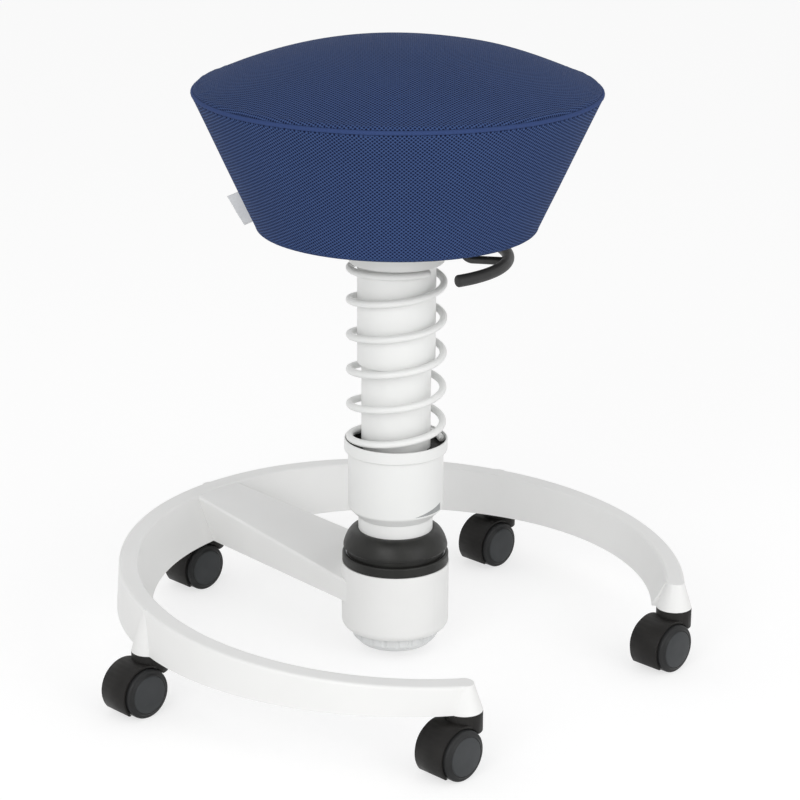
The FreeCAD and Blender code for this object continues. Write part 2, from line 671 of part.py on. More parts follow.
def rubber_parts():
    node(lathe("boot_ring", [
        ("carrier_radius", "hub_top"), ("boot_ring_radius", "hub_top"),
        ("boot_ring_radius", "hub_top + boot_ring_height"), ("carrier_radius", "hub_top + boot_ring_height")],
        {1: "1", 2: "1.6"}))
    node(lathe("boot_bellows", [
        ("bellows_radius - bellows_wall", "carrier_top"), ("bellows_radius", "carrier_top"),
        ("bellows_radius", "carrier_top + bellows_height"), ("bellows_radius - bellows_wall", "carrier_top + bellows_height")]))
    low = "pressure_bottom + pressure_thick + buffer_gap"
    high = "foot_bottom - buffer_gap"
    node(lathe("rubber_buffer", [
        ("0", low), ("buffer_radius", low), ("buffer_radius", low + " + buffer_edge"),
        ("buffer_waist", low + " + buffer_taper"), ("buffer_waist", high + " - buffer_taper"),
        ("buffer_radius - buffer_edge", high + " - buffer_neck"), ("buffer_radius - buffer_edge", high),
        ("0", high)]))
    # The dome is a skin between two arcs, straight at its lower edge.
    low_edge = mm("hub_top") + mm("boot_ring_height") + mm("boot_gap")
    high_edge = low_edge + mm("dome_height")
    skirt = mm("dome_skirt")
    outer_edge = mm("dome_radius")
    inner_edge = outer_edge - mm("dome_wall")
    neck = mm("foot_radius")
    wall = mm("dome_neck_wall")
    outer = dome_arc(outer_edge, low_edge + skirt, neck, high_edge)
    inner = dome_arc(inner_edge, low_edge + skirt, neck, high_edge - wall)
    node(formed("boot_dome", turned_profile([
        line(on_profile(inner_edge, low_edge), on_profile(outer_edge, low_edge)),
        line(on_profile(outer_edge, low_edge), on_profile(outer_edge, low_edge + skirt)),
        outer,
        line(on_profile(neck, high_edge), on_profile(neck, high_edge - wall)),
        inner,
        line(on_profile(inner_edge, low_edge + skirt), on_profile(inner_edge, low_edge))])))


def dome_arc(low_radius, low, high_radius, high):
    """An arc that leaves the dome's skirt upright and ends at the neck."""
    return tangent_arc(on_profile(low_radius, low), Z_AXIS, on_profile(high_radius, high))


def column():
    foot = lathe("column_foot_blank", [
        ("0", "foot_bottom"), ("foot_radius", "foot_bottom"), ("foot_radius", "cup_bottom - part_gap"),
        ("lower_radius", "cup_bottom - part_gap"), ("lower_radius", "foot_step"), ("foot_inner", "foot_step"),
        ("foot_inner", "foot_bottom + foot_floor"), ("0", "foot_bottom + foot_floor")])
    bore = pin_bores("foot_pin_bore", "pin_radius + running_gap", "carrier_radius", "carrier_radius")[1]
    node(cut("column_foot", foot, bore))
    node(lathe("lower_tube", [
        ("lower_radius - lower_wall", "foot_step"), ("lower_radius", "foot_step"),
        ("lower_radius", "lower_top"), ("lower_radius - lower_wall", "lower_top")], {2: "0.8"}))


def spring_cup():
    running = "lower_radius + running_gap"
    body = lathe("spring_cup", [
        (running, "cup_bottom"), ("cup_foot_radius", "cup_bottom"), ("cup_radius", "cup_bottom + cup_slope"),
        ("cup_radius", "lip_bottom"), ("lip_radius", "lip_bottom"), ("lip_radius", "lip_bottom + lip_height"),
        ("lip_radius - lip_wall", "lip_bottom + lip_height"), ("lip_radius - lip_wall", "lip_bottom + lip_ledge"),
        ("cup_radius - cup_wall", "lip_bottom + lip_ledge"), ("cup_radius - cup_wall", "cup_bottom + cup_floor"),
        (running, "cup_bottom + cup_floor")], {2: "4", 4: "1.6", 5: "0.6"})
    node(body)
    node(lathe("spring_seat", [
        (running, "lip_bottom + lip_ledge + part_gap"), ("lip_radius - lip_wall - part_gap", "lip_bottom + lip_ledge + part_gap"),
        ("lip_radius - lip_wall - part_gap", "lip_bottom + lip_ledge + part_gap + seat_ring_height"),
        (running, "lip_bottom + lip_ledge + part_gap + seat_ring_height")]))


def spring_low():
    ring_top = mm("lip_bottom") + mm("lip_ledge") + mm("part_gap") + mm("seat_ring_height")
    return ring_top + mm("part_gap") + mm("wire_radius")


def spring_high():
    return mm("collar_bottom") - mm("part_gap") - mm("wire_radius")


def spring_turns():
    """Open turns from the height that the two ends leave."""
    ends = mm("spring_pitch") * mm("end_turns")
    return (spring_high() - spring_low() - ends) / mm("spring_pitch") + 2 * mm("end_turns")


def spring_point(turn):
    """Place and direction on the coil's centre line after some turns."""
    pitch = mm("spring_pitch")
    fade = mm("end_turns")
    total = spring_turns()
    if turn < fade:
        height = spring_low() + pitch * turn * turn / (2 * fade)
        rise = pitch * turn / fade
    elif turn > total - fade:
        left = total - turn
        height = spring_high() - pitch * left * left / (2 * fade)
        rise = pitch * left / fade
    else:
        height = spring_low() + pitch * fade / 2 + pitch * (turn - fade)
        rise = pitch
    angle = math.radians(mm("spring_phase")) + 2 * math.pi * turn
    radius = mm("spring_radius")
    place_on = V(radius * math.cos(angle), radius * math.sin(angle), height)
    way = V(-radius * math.sin(angle), radius * math.cos(angle), rise / (2 * math.pi))
    way.normalize()
    return place_on, way


def coil_spring():
    """One unbroken right-handed coil, swept along arcs of a quarter turn."""
    steps = int(math.ceil(spring_turns() * 4))
    marks = [spring_point(spring_turns() * step / steps) for step in range(steps + 1)]
    arcs = []
    for (start, start_way), (end, end_way) in zip(marks, marks[1:]):
        arcs.extend(biarc(start, start_way, end, end_way))
    path = Part.Wire([arc.toShape() for arc in arcs])
    section = Part.Wire(Part.Circle(marks[0][0], marks[0][1], mm("wire_radius")).toShape())
    shape = path.makePipeShell([section], True, False)
    samples = [spring_point(spring_turns() * step / 720.0)[0] for step in range(721)]
    near = 720.0 / spring_turns() * 0.6
    least = min((samples[low] - samples[high]).Length
                for low in range(0, 721, 3) for high in range(low + int(near), 721))
    print("coil_spring: least gap to itself %.2f mm" % (least - 2 * mm("wire_radius")))
    expected = math.pi * mm("wire_radius") ** 2 * path.Length
    print("coil_spring: volume %.0f, section times length %.0f" % (shape.Volume, expected))
    node(formed("coil_spring", shape))


def upper_column():
    bore = "upper_radius - upper_wall"
    collar_top = "collar_bottom + collar_height"
    node(lathe("upper_tube", [
        (bore, "upper_bottom"), ("upper_radius", "upper_bottom"),
        ("upper_radius", collar_top + " - collar_floor"), (bore, collar_top + " - collar_floor")], {1: "0.8"}))
    node(lathe("top_collar", [
        ("guide_radius", collar_top + " - collar_floor"), ("upper_radius", collar_top + " - collar_floor"),
        ("upper_radius", "collar_bottom"), ("collar_radius", "collar_bottom"),
        ("collar_radius", collar_top), ("guide_radius", collar_top)], {3: "1", 4: "1.5"}))
    node(lathe("guide_tube", [
        ("rod_radius + running_gap", "guide_bottom"), ("guide_radius", "guide_bottom"),
        ("guide_radius", collar_top), ("guide_radius - guide_wall", collar_top),
        ("guide_radius - guide_wall", "guide_bottom + guide_floor"),
        ("rod_radius + running_gap", "guide_bottom + guide_floor")]))
    tube_bush = lathe("tube_bush", [
        ("lower_radius + running_gap", "upper_bottom + 1"), (bore, "upper_bottom + 1"),
        (bore, "upper_bottom + 1 + bush_length"), ("lower_radius + running_gap", "upper_bottom + 1 + bush_length")])
    cylinder_bush = lathe("cylinder_bush", [
        ("cylinder_radius + running_gap", collar_top + " - bush_height"),
        ("guide_radius - guide_wall", collar_top + " - bush_height"),
        ("guide_radius - guide_wall", collar_top), ("cylinder_radius + running_gap", collar_top)])
    node(group("guide_bushes", tube_bush, cylinder_bush))


# Gas spring


def gas_spring():
    floor_top = "guide_bottom + guide_floor"
    bearing_top = floor_top + " + part_gap + bearing_height"
    node(lathe("piston_rod", [
        ("0", "guide_bottom - rod_tail"), ("rod_radius", "guide_bottom - rod_tail"),
        ("rod_radius", bearing_top), ("flange_radius", bearing_top),
        ("flange_radius", bearing_top + " + flange_height"), ("rod_radius", bearing_top + " + flange_height"),
        ("rod_radius", "piston_bottom"), ("cylinder_bore - running_gap", "piston_bottom"),
        ("cylinder_bore - running_gap", "piston_bottom + piston_height"), ("0", "piston_bottom + piston_height")]))
    node(lathe("thrust_bearing", [
        ("rod_radius", floor_top + " + part_gap"), ("bearing_radius", floor_top + " + part_gap"),
        ("bearing_radius", bearing_top), ("rod_radius", bearing_top)]))
    node(lathe("rod_clip", [
        ("rod_radius", "guide_bottom - part_gap - clip_height"),
        ("clip_radius", "guide_bottom - part_gap - clip_height"),
        ("clip_radius", "guide_bottom - part_gap"), ("rod_radius", "guide_bottom - part_gap")]))
    node(lathe("gas_cylinder", [
        ("rod_radius + running_gap", "cylinder_bottom"), ("cylinder_radius", "cylinder_bottom"),
        ("cylinder_radius", "taper_start"), ("taper_end_radius", "cylinder_top"),
        ("valve_radius + running_gap", "cylinder_top"), ("valve_radius + running_gap", "chamber_top"),
        ("cylinder_bore", "chamber_top"), ("cylinder_bore", "cylinder_bottom + cylinder_cap"),
        ("rod_radius + running_gap", "cylinder_bottom + cylinder_cap")], {1: "1"}))
    node(cylinder("valve_pin", "valve_radius", "cylinder_top + valve_rise - chamber_top - part_gap",
                  z="chamber_top + part_gap"))


# Seat


def taper_radius(height):
    slope = "(cylinder_radius - taper_end_radius) / (cylinder_top - taper_start)"
    return "cylinder_radius - %s * (%s - taper_start)" % (slope, height)


def lever_height():
    """Height of the lever's upper run, just over the valve pin."""
    return "(cylinder_top + valve_rise + valve_play + lever_rod_radius)"


def lever_slot(label, low, high):
    """Opening for the lever's rod, turned to the lever's bearing."""
    half = "(lever_rod_radius + slot_margin)"
    inner = "(lever_drop_at - %s)" % half
    corner_x = inner + " * cos(lever_bearing) + %s * sin(lever_bearing)" % half
    corner_y = inner + " * sin(lever_bearing) - %s * cos(lever_bearing)" % half
    return box(label, "2 * " + half, "2 * " + half, "%s - (%s)" % (high, low), x=corner_x, y=corner_y,
               z=low, angle="lever_bearing")


def screw_place(bearing):
    turn = "screw_turn + %g" % bearing
    return dict(x="screw_circle * cos(%s)" % turn, y="screw_circle * sin(%s)" % turn)


def seat_structure():
    plate_bottom = "flange_bottom - plate_thick"
    plate = lathe("seat_plate_disc", [
        (taper_radius("taper_start"), "socket_bottom"), ("plate_socket", "socket_bottom"),
        ("plate_socket", plate_bottom), ("plate_radius", plate_bottom), ("plate_radius", "flange_bottom"),
        ("plate_socket", "flange_bottom"), ("plate_socket", "socket_top"),
        (taper_radius("socket_top"), "socket_top"), ("cylinder_radius", "taper_start")])
    ears = []
    for side, offset in (("near", "-lever_eye_half - part_gap - ear_thick"), ("far", "lever_eye_half + part_gap")):
        corner_x = "(lever_pivot - ear_half) * cos(lever_bearing) - (%s) * sin(lever_bearing)" % offset
        corner_y = "(lever_pivot - ear_half) * sin(lever_bearing) + (%s) * cos(lever_bearing)" % offset
        ears.append(box("lever_ear_" + side, "2 * ear_half", "ear_thick",
                        "%s + ear_rise - flange_bottom" % lever_height(), x=corner_x, y=corner_y,
                        z="flange_bottom", angle="lever_bearing"))
    holes = [cylinder("plate_hole_%d" % number, "screw_radius", "plate_thick * 3",
                      z=plate_bottom + " - plate_thick", **screw_place(bearing))
             for number, bearing in enumerate(SCREW_BEARINGS, start=1)]
    slot = lever_slot("plate_slot", plate_bottom + " - 1", "flange_bottom + 1")
    pin_hole = pivot_pin("ear_hole")
    node(cut("seat_plate", joined("seat_plate_blank", plate, *ears), slot, pin_hole, *holes))
    node(pivot_pin("lever_pivot_pin"))

    flange_top = "flange_bottom + shell_flange"
    shell = lathe("seat_shell_blank", [
        (cone_radius("seat_bottom", "side_thick"), "seat_bottom"),
        (cone_radius("pan_bottom", "side_thick"), "pan_bottom"),
        (cone_radius("pan_bottom", "side_thick + shell_wall"), "pan_bottom"),
        (cone_radius(flange_top, "side_thick + shell_wall"), flange_top),
        ("shell_flange_bore", flange_top), ("shell_flange_bore", "flange_bottom"),
        (cone_radius("flange_bottom", "side_thick + shell_wall"), "flange_bottom"),
        (cone_radius("seat_bottom", "side_thick + shell_wall"), "seat_bottom")])
    threads = [cylinder("shell_hole_%d" % number, "screw_radius", "shell_flange * 3",
                        z="flange_bottom - shell_flange", **screw_place(bearing))
               for number, bearing in enumerate(SCREW_BEARINGS, start=1)]
    node(cut("seat_shell", shell, *threads))
    cover = lathe("seat_bottom_disc", [
        ("cover_bore", "seat_bottom"), (cone_radius("seat_bottom", "side_thick + shell_wall"), "seat_bottom"),
        (cone_radius("seat_bottom", "side_thick + shell_wall"), "seat_bottom + cover_thick"),
        ("cover_bore", "seat_bottom + cover_thick")])
    node(cut("seat_bottom_cover", cover, lever_slot("cover_slot", "seat_bottom - 1", "seat_bottom + cover_thick + 1")))
    screws = []
    for number, bearing in enumerate(SCREW_BEARINGS, start=1):
        shank = cylinder("screw_shank_%d" % number, "screw_radius", "plate_thick + shell_flange",
                         z=plate_bottom, **screw_place(bearing))
        head = cylinder("screw_head_%d" % number, "screw_head", "screw_head_height",
                        z=plate_bottom + " - screw_head_height", **screw_place(bearing))
        screws.append(joined("screw_%d" % number, shank, head))
    node(group("seat_screws", *screws))
    node(lathe("seat_pan", [
        ("0", "pan_bottom"), (cone_radius("pan_bottom", "side_thick + pan_gap"), "pan_bottom"),
        (cone_radius("pan_bottom", "side_thick + pan_gap"), PAN_TOP),
        ("0", PAN_TOP)], {2: "2"}))


def pivot_pin(label):
    """Pin across the bracket's ears, or the hole for it."""
    reach = "(lever_eye_half + part_gap + ear_thick)"
    item = new("Part::Cylinder", label)
    bind(item, "Radius", "pivot_pin_radius")
    bind(item, "Height", "2 * " + reach)
    # A cylinder laid along -Y and then turned to the lever's bearing.
    lay = FreeCAD.Rotation(X_AXIS, 90)
    spin = FreeCAD.Rotation(Z_AXIS, mm("lever_bearing"))
    item.Placement = FreeCAD.Placement(V(0, 0, 0), spin.multiply(lay))
    bind(item, ".Placement.Base.x", "lever_pivot * cos(lever_bearing) - %s * sin(lever_bearing)" % reach)
    bind(item, ".Placement.Base.y", "lever_pivot * sin(lever_bearing) + %s * cos(lever_bearing)" % reach)
    bind(item, ".Placement.Base.z", lever_height())
    return item


def crown_height(radius, drop=0.0):
    """Height of the seat's crown at a radius, less the cover's thickness."""
    edge = mm("crown_edge_radius")
    rise = mm("crown_rise")
    ball = (edge * edge + rise * rise) / (2 * rise)
    return summed(CROWN_BASE) + rise - ball + math.sqrt(ball * ball - radius * radius) - drop


def crown_arcs(edge_radius, skirt, drop):
    """The crown from its skirt to the middle: a drawn-in edge and a cap."""
    shoulder = edge_radius - mm("crown_roll")
    turn = on_profile(shoulder, crown_height(shoulder, drop))
    half_way = on_profile(shoulder / 2, crown_height(shoulder / 2, drop))
    roll = tangent_arc(on_profile(edge_radius, skirt), Z_AXIS, turn)
    return [roll, Part.Arc(turn, half_way, on_profile(0, crown_height(0, drop)))]


def seat_cushion():
    """Foam with its crown, the cover over it and the cover round the side."""
    thick = mm("top_thick")
    pan_top = summed(PAN_TOP)
    edge = mm("crown_edge_radius")
    foam_edge = edge - thick
    skirt = summed(SEAM) + mm("piping_half")
    foam_arcs = crown_arcs(foam_edge, skirt, thick)
    node(formed("seat_foam", turned_profile([
        line(on_profile(0, pan_top), on_profile(foam_edge, pan_top)),
        line(on_profile(foam_edge, pan_top), on_profile(foam_edge, skirt)),
        *foam_arcs,
        line(on_profile(0, crown_height(0, thick)), on_profile(0, pan_top))])))
    node(formed("seat_cover_top", turned_profile([
        line(on_profile(foam_edge, skirt), on_profile(edge, skirt)),
        *crown_arcs(edge, skirt, 0.0),
        line(on_profile(0, crown_height(0)), on_profile(0, crown_height(0, thick))),
        *foam_arcs[::-1]])))
    node(lathe("seat_cover_side", [
        (cone_radius("seat_bottom", "side_thick"), "seat_bottom"), (cone_radius("seat_bottom"), "seat_bottom"),
        (cone_radius(RIM), RIM), (cone_radius(RIM, "side_thick"), RIM)]))
    piping = new("Part::Torus", "seat_piping")
    bind(piping, "Radius1", "piping_radius")
    bind(piping, "Radius2", "piping_half")
    place(piping, z=SEAM)
    node(piping)


def cover_tag():
    """A bare strip of fabric sewn to the side cover."""
    tag = new("Part::Box", "cover_tag")
    bind(tag, "Length", "tag_reach")
    bind(tag, "Width", "tag_thick")
    bind(tag, "Height", "tag_length")
    slant = math.degrees(math.atan((mm("seat_rim_radius") - mm("seat_foot_radius"))
                                   / (summed(RIM) - mm("seat_bottom"))))
    lean = FreeCAD.Rotation(Y_AXIS, slant)
    spin = FreeCAD.Rotation(Z_AXIS, mm("tag_bearing"))
    turn = math.radians(mm("tag_bearing"))
    tag.Placement = FreeCAD.Placement(V(0, 0, 0), spin.multiply(lean))
    low = "seat_bottom + tag_lift"
    radius = cone_radius(low)
    bind(tag, ".Placement.Base.x", "(%s) * cos(tag_bearing) + tag_thick / 2 * sin(tag_bearing)" % radius)
    bind(tag, ".Placement.Base.y", "(%s) * sin(tag_bearing) - tag_thick / 2 * cos(tag_bearing)" % radius)
    bind(tag, ".Placement.Base.z", low)
    node(tag)


# Height lever


def lever():
    """A bent rod over the valve pin that ends in the bow's socket, and the bow."""
    high = mm("cylinder_top") + mm("valve_rise") + mm("valve_play") + mm("lever_rod_radius")
    low = mm("grip_height")
    bend = mm("lever_bend")
    drop = mm("lever_drop_at")
    end = mm("grip_circle")
    diagonal = bend * (1 - math.sqrt(0.5))
    path = [
        line(V(-mm("lever_start"), 0, high), V(drop - bend, 0, high)),
        Part.Arc(V(drop - bend, 0, high), V(drop - diagonal, 0, high - diagonal), V(drop, 0, high - bend)),
        line(V(drop, 0, high - bend), V(drop, 0, low + bend)),
        Part.Arc(V(drop, 0, low + bend), V(drop + diagonal, 0, low + diagonal), V(drop + bend, 0, low)),
        line(V(drop + bend, 0, low), V(end, 0, low))]
    wire = Part.Wire([edge.toShape() for edge in path])
    section = Part.Wire(Part.Circle(V(-mm("lever_start"), 0, high), X_AXIS, mm("lever_rod_radius")).toShape())
    rod = wire.makePipeShell([section], True, False)
    half = mm("lever_eye_half")
    eye = Part.makeCylinder(mm("lever_eye"), 2 * half, V(mm("lever_pivot"), -half, high), Y_AXIS)
    bore = Part.makeCylinder(mm("pivot_pin_radius") + mm("running_gap"), 2 * half + 2,
                             V(mm("lever_pivot"), -half - 1, high), Y_AXIS)
    turn = FreeCAD.Placement(V(0, 0, 0), FreeCAD.Rotation(Z_AXIS, mm("lever_bearing")))
    rod_node = node(formed("lever_rod", rod.fuse(eye).cut(bore)))
    rod_node.Placement = turn
    angle = mm("grip_half_angle")
    circle_at = Part.Circle(V(end, 0, low), Y_AXIS, mm("grip_radius"))
    face = Part.Face(Part.Wire(circle_at.toShape()))
    face.rotate(V(0, 0, 0), Z_AXIS, -angle)
    bow = face.revolve(V(0, 0, 0), Z_AXIS, 2 * angle)
    ends = [edge for edge in bow.Edges if isinstance(edge.Curve, Part.Circle)
            and abs(edge.Curve.Radius - mm("grip_radius")) < 0.01]
    bow = bow.makeFillet(mm("grip_round"), ends)
    socket = Part.makeCylinder(mm("lever_rod_radius"), bend * 3, V(end - bend * 3, 0, low), X_AXIS)
    grip_node = node(formed("lever_grip", bow.cut(socket)))
    grip_node.Placement = turn


# Preload knob


def preload():
    floor_top = "hub_bottom + hub_floor"
    knob = lathe("knob_blank", [
        ("0", "knob_bottom"), ("knob_face_radius", "knob_bottom"), ("knob_radius", "knob_bottom + knob_slope"),
        ("knob_radius", "hub_bottom - part_gap"), ("knob_sleeve", "hub_bottom - part_gap"),
        ("knob_sleeve", "sleeve_top"), ("push_radius + running_gap", "sleeve_top"),
        ("push_radius + running_gap", "knob_bottom + knob_floor"), ("0", "knob_bottom + knob_floor")], {1: "2"})
    notches = []
    for number in range(KNOB_NOTCHES):
        bearing = 360.0 * (number + 0.5) / KNOB_NOTCHES
        notches.append(cylinder("notch_%d" % number, "grip_notch", "hub_bottom",
                                x="(knob_radius + grip_notch * 0.5) * cos(%g)" % bearing,
                                y="(knob_radius + grip_notch * 0.5) * sin(%g)" % bearing, z="-1"))
    node(cut("adjust_knob", knob, *notches))
    node(lathe("knob_clip", [
        ("knob_sleeve", floor_top + " + part_gap"), ("knob_clip_radius", floor_top + " + part_gap"),
        ("knob_clip_radius", floor_top + " + part_gap + clip_height"),
        ("knob_sleeve", floor_top + " + part_gap + clip_height")]))
    node(lathe("pressure_plate", [
        ("0", "push_bottom"), ("push_radius", "push_bottom"), ("push_radius", "pressure_bottom"),
        ("pressure_radius", "pressure_bottom"), ("pressure_radius", "pressure_bottom + pressure_thick"),
        ("0", "pressure_bottom + pressure_thick")]))


base_frame()
caster_sockets()
for caster_number, caster_bearing in enumerate(CASTER_BEARINGS, start=1):
    caster(caster_number, caster_bearing)
tilt_joint()
rubber_parts()
column()
spring_cup()
coil_spring()
upper_column()
gas_spring()
seat_structure()
seat_cushion()
cover_tag()
lever()
preload()
doc.recompute()

failed = [item.Label for item in doc.Objects if "Invalid" in item.State or "Error" in item.State]
for item in nodes:
    if item.Shape.isNull() or not item.Shape.isValid() or not item.Shape.Solids:
        failed.append(item.Label)
if failed:
    raise RuntimeError("These features failed: " + ", ".join(sorted(set(failed))))

os.makedirs("parts", exist_ok=True)
for item in nodes:
    item.Shape.exportStep(os.path.join("parts", item.Label + ".step"))
print("%d pieces written" % len(nodes))
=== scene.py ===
"""Looks of the wobble stool: fabric, plastics, enamel, floor, light and camera."""
import json
import math

import bmesh
import bpy
from mathutils import Matrix, Vector, noise


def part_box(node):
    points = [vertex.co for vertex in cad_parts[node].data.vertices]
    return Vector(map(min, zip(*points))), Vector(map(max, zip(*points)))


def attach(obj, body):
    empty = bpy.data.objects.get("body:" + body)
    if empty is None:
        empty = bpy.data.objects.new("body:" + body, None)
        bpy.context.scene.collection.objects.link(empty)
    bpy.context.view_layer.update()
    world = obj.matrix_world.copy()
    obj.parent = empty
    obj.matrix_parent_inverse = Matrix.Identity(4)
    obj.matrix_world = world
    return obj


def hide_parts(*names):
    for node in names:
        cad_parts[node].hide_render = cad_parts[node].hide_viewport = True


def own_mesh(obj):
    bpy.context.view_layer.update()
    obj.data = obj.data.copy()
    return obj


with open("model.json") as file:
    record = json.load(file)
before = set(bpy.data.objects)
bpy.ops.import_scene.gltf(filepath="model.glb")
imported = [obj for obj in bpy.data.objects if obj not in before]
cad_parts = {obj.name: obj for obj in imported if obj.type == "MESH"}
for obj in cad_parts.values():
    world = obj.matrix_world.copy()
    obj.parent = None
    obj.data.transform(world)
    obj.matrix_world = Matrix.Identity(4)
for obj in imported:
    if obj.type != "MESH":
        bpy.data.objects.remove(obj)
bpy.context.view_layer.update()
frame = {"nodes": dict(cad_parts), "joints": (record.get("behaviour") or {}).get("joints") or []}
nodes = frame["nodes"]

MM = 0.001
TURN = 2 * math.pi

# Camera, from the photograph's perspective: degrees, metres and pixels
CAMERA_BEARING = -48.4
CAMERA_DISTANCE = 2.4377
CAMERA_HEIGHT = 1.0681
CAMERA_DOWN = 18.132
CAMERA_YAW = 0.0924
CAMERA_ROLL = -0.317
FOCAL_PIXELS = 2551
PHOTO_PIXELS = 800
SENSOR = 36
VIEW_END = 60

# Light: strengths of the surround level and from above, and of the floor's white
WORLD_SIDE = 0.88
WORLD_TOP = 0.6
FLOOR_SHADE = 0.42
FLOOR_BOUNCE = 0.9
FLOOR_PAPER = 0.65
FLOOR_HALF = 14.0
LAMP_AIM = 0.35
# name, bearing in degrees, height, distance, width, watts
LAMPS = [
    ("key", CAMERA_BEARING - 22, 1.4, 2.6, 1.8, 22),
    ("fill", CAMERA_BEARING + 48, 1.1, 2.8, 2.0, 19),
]

# Seat
CROWN_LIFT = 1.3 * MM
EDGE_ROLL = 6 * MM
PIPING_HALF = 2.2 * MM
SIDE_FOOT_RADIUS = 137.7 * MM
SIDE_FOLD = 4 * MM
SIDE_TOP_DROP = 0.8 * MM
SEAM_BEARING = math.radians(221.6)
TAG_LENGTH = 33 * MM
TAG_REACH = 12.6 * MM
TAG_RISE = 9 * MM
TAG_HALF = 0.38 * MM
TAG_LEAN = 0.25

# Cloth: pitch of its net and rib, and the bearing of the net's rows in degrees
MESH_PITCH = 2.9 * MM
TOP_MESH_TURN = 3.4
SIDE_MESH_TURN = 7.6
TWILL_PITCH = 1.1 * MM
TWILL_TURN = 35
WAVE_TURN = 0.3183

# Column
BOOT_NECK = 37.9 * MM
BOOT_WALL = 1.6 * MM
BOOT_HEM = 0.5 * MM
CUP_RADIUS = 48.4 * MM
INK_RISE = 0.06 * MM
# The printed wedge: bearings in degrees, then lengths
WEDGE_START = -24.0
WEDGE_END = 20.0
WEDGE_FOOT = 159.5 * MM
WEDGE_HEIGHT = 7.5 * MM
WEDGE_TIP = 0.25 * MM

# Casters
CASTERS = range(1, 6)
HOOD_EDGE = 0.7 * MM
WHEEL_RADIUS = 25 * MM
WHEEL_MIDDLE = 12.8 * MM
WHEEL_INNER = 4.6 * MM
WHEEL_OUTER = 21 * MM
WHEEL_SHOULDER = 2.4 * MM
WHEEL_BORE = 3.05 * MM
# Points beyond the wheel's shoulder: radius, and height over its outer face, in millimetres
TREAD_FACE = [(21.9, 0.1), (21.4, 0.3), (19.9, 1.7), (19.5, 1.9), (19.1, 1.5)]
DISC_FACE = [(19.1, 1.4), (18.6, 1.95), (17.8, 2.15), (8, 2.2), (0, 2.2)]


# Node helpers


def shader(name, color, roughness, **sockets):
    """A new material with a Principled shader; returns the material and its parts."""
    material = bpy.data.materials.new(name)
    material.use_nodes = True
    principled = material.node_tree.nodes["Principled BSDF"]
    principled.inputs["Base Color"].default_value = (*color, 1)
    principled.inputs["Roughness"].default_value = roughness
    for socket, value in sockets.items():
        principled.inputs[socket.replace("_", " ").title().replace("Ior", "IOR")].default_value = value
    return material, material.node_tree, principled


def add(tree, kind, **settings):
    """A new shader node with some of its settings."""
    item = tree.nodes.new(kind)
    for name, value in settings.items():
        setattr(item, name, value)
    return item


def object_place(tree, scale=(1, 1, 1)):
    """Object coordinates, in metres in the stool's frame, stretched by a scale."""
    source = add(tree, "ShaderNodeTexCoord")
    mapping = add(tree, "ShaderNodeMapping")
    mapping.inputs["Scale"].default_value = scale
    tree.links.new(source.outputs["Object"], mapping.inputs["Vector"])
    return mapping.outputs["Vector"]


def noise_at(tree, place, scale, detail=3):
    """Noise of some scale and detail at a place."""
    texture = add(tree, "ShaderNodeTexNoise")
    texture.inputs["Scale"].default_value = scale
    texture.inputs["Detail"].default_value = detail
    tree.links.new(place, texture.inputs["Vector"])
    return texture.outputs["Fac"]


def ranged(tree, value, low, high, to_low, to_high, smooth=False):
    """A value brought from one range to another."""
    item = add(tree, "ShaderNodeMapRange")
    if smooth:
        item.interpolation_type = "SMOOTHSTEP"
    for index, number in enumerate((low, high, to_low, to_high), start=1):
        item.inputs[index].default_value = number
    tree.links.new(value, item.inputs[0])
    return item.outputs[0]


def maths(tree, operation, first, second):
    """Two values, each a socket or a number, put together by an operation."""
    item = add(tree, "ShaderNodeMath", operation=operation)
    for index, value in enumerate((first, second)):
        if isinstance(value, (int, float)):
            item.inputs[index].default_value = value
        else:
            tree.links.new(value, item.inputs[index])
    return item.outputs[0]


def mixed(tree, share, first, second):
    """Mix two colours, each a socket or a plain colour."""
    item = add(tree, "ShaderNodeMix", data_type="RGBA")
    tree.links.new(share, item.inputs[0])
    for index, value in ((6, first), (7, second)):
        if isinstance(value, tuple):
            item.inputs[index].default_value = (*value, 1)
        else:
            tree.links.new(value, item.inputs[index])
    return item.outputs[2]


def bumped(tree, principled, height, strength, distance):
    """A bump from some height on a Principled shader."""
    bump = add(tree, "ShaderNodeBump")
    bump.inputs["Strength"].default_value = strength
    bump.inputs["Distance"].default_value = distance
    tree.links.new(height, bump.inputs["Height"])
    tree.links.new(bump.outputs["Normal"], principled.inputs["Normal"])


def varied(tree, principled, place, color, other, scale, roughness=None):
    """Vary the colour, and the roughness if two values are given, softly over the surface."""
    share = ranged(tree, noise_at(tree, place, scale), 0.35, 0.65, 0, 1)
    tree.links.new(mixed(tree, share, color, other), principled.inputs["Base Color"])
    if roughness:
        rough = ranged(tree, noise_at(tree, place, scale * 2.3), 0.3, 0.7, *roughness)
        tree.links.new(rough, principled.inputs["Roughness"])


# Materials


def finish(name, color, other, roughness, patches, grain, stretch=(1, 1, 1), **sockets):
    """A material whose colour and roughness drift in soft patches under a fine bump.

    roughness is one value, or the least and the most. patches is the drift's scale, and grain holds the
    bump's scale, detail, strength and depth.
    """
    spread = roughness if isinstance(roughness, tuple) else None
    material, tree, principled = shader(name, color, spread[0] if spread else roughness, **sockets)
    place = object_place(tree, stretch)
    varied(tree, principled, place, color, other, patches, spread)
    if grain:
        scale, detail, strength, depth = grain
        bumped(tree, principled, noise_at(tree, place, scale, detail), strength, depth)
    return material


def enamel(name, color, other, roughness, grain):
    """Sprayed enamel or powder coat: soft orange peel and faint unevenness."""
    return finish(name, color, other, roughness, 9, (grain, 2, 0.12, 0.2 * MM))


def moulded(name, color, other, roughness, grain=1500):
    """Moulded plastic with a fine spark-eroded grain."""
    return finish(name, color, other, roughness, 30, (grain, 4, 0.5, 0.1 * MM), specular_ior_level=0.22)


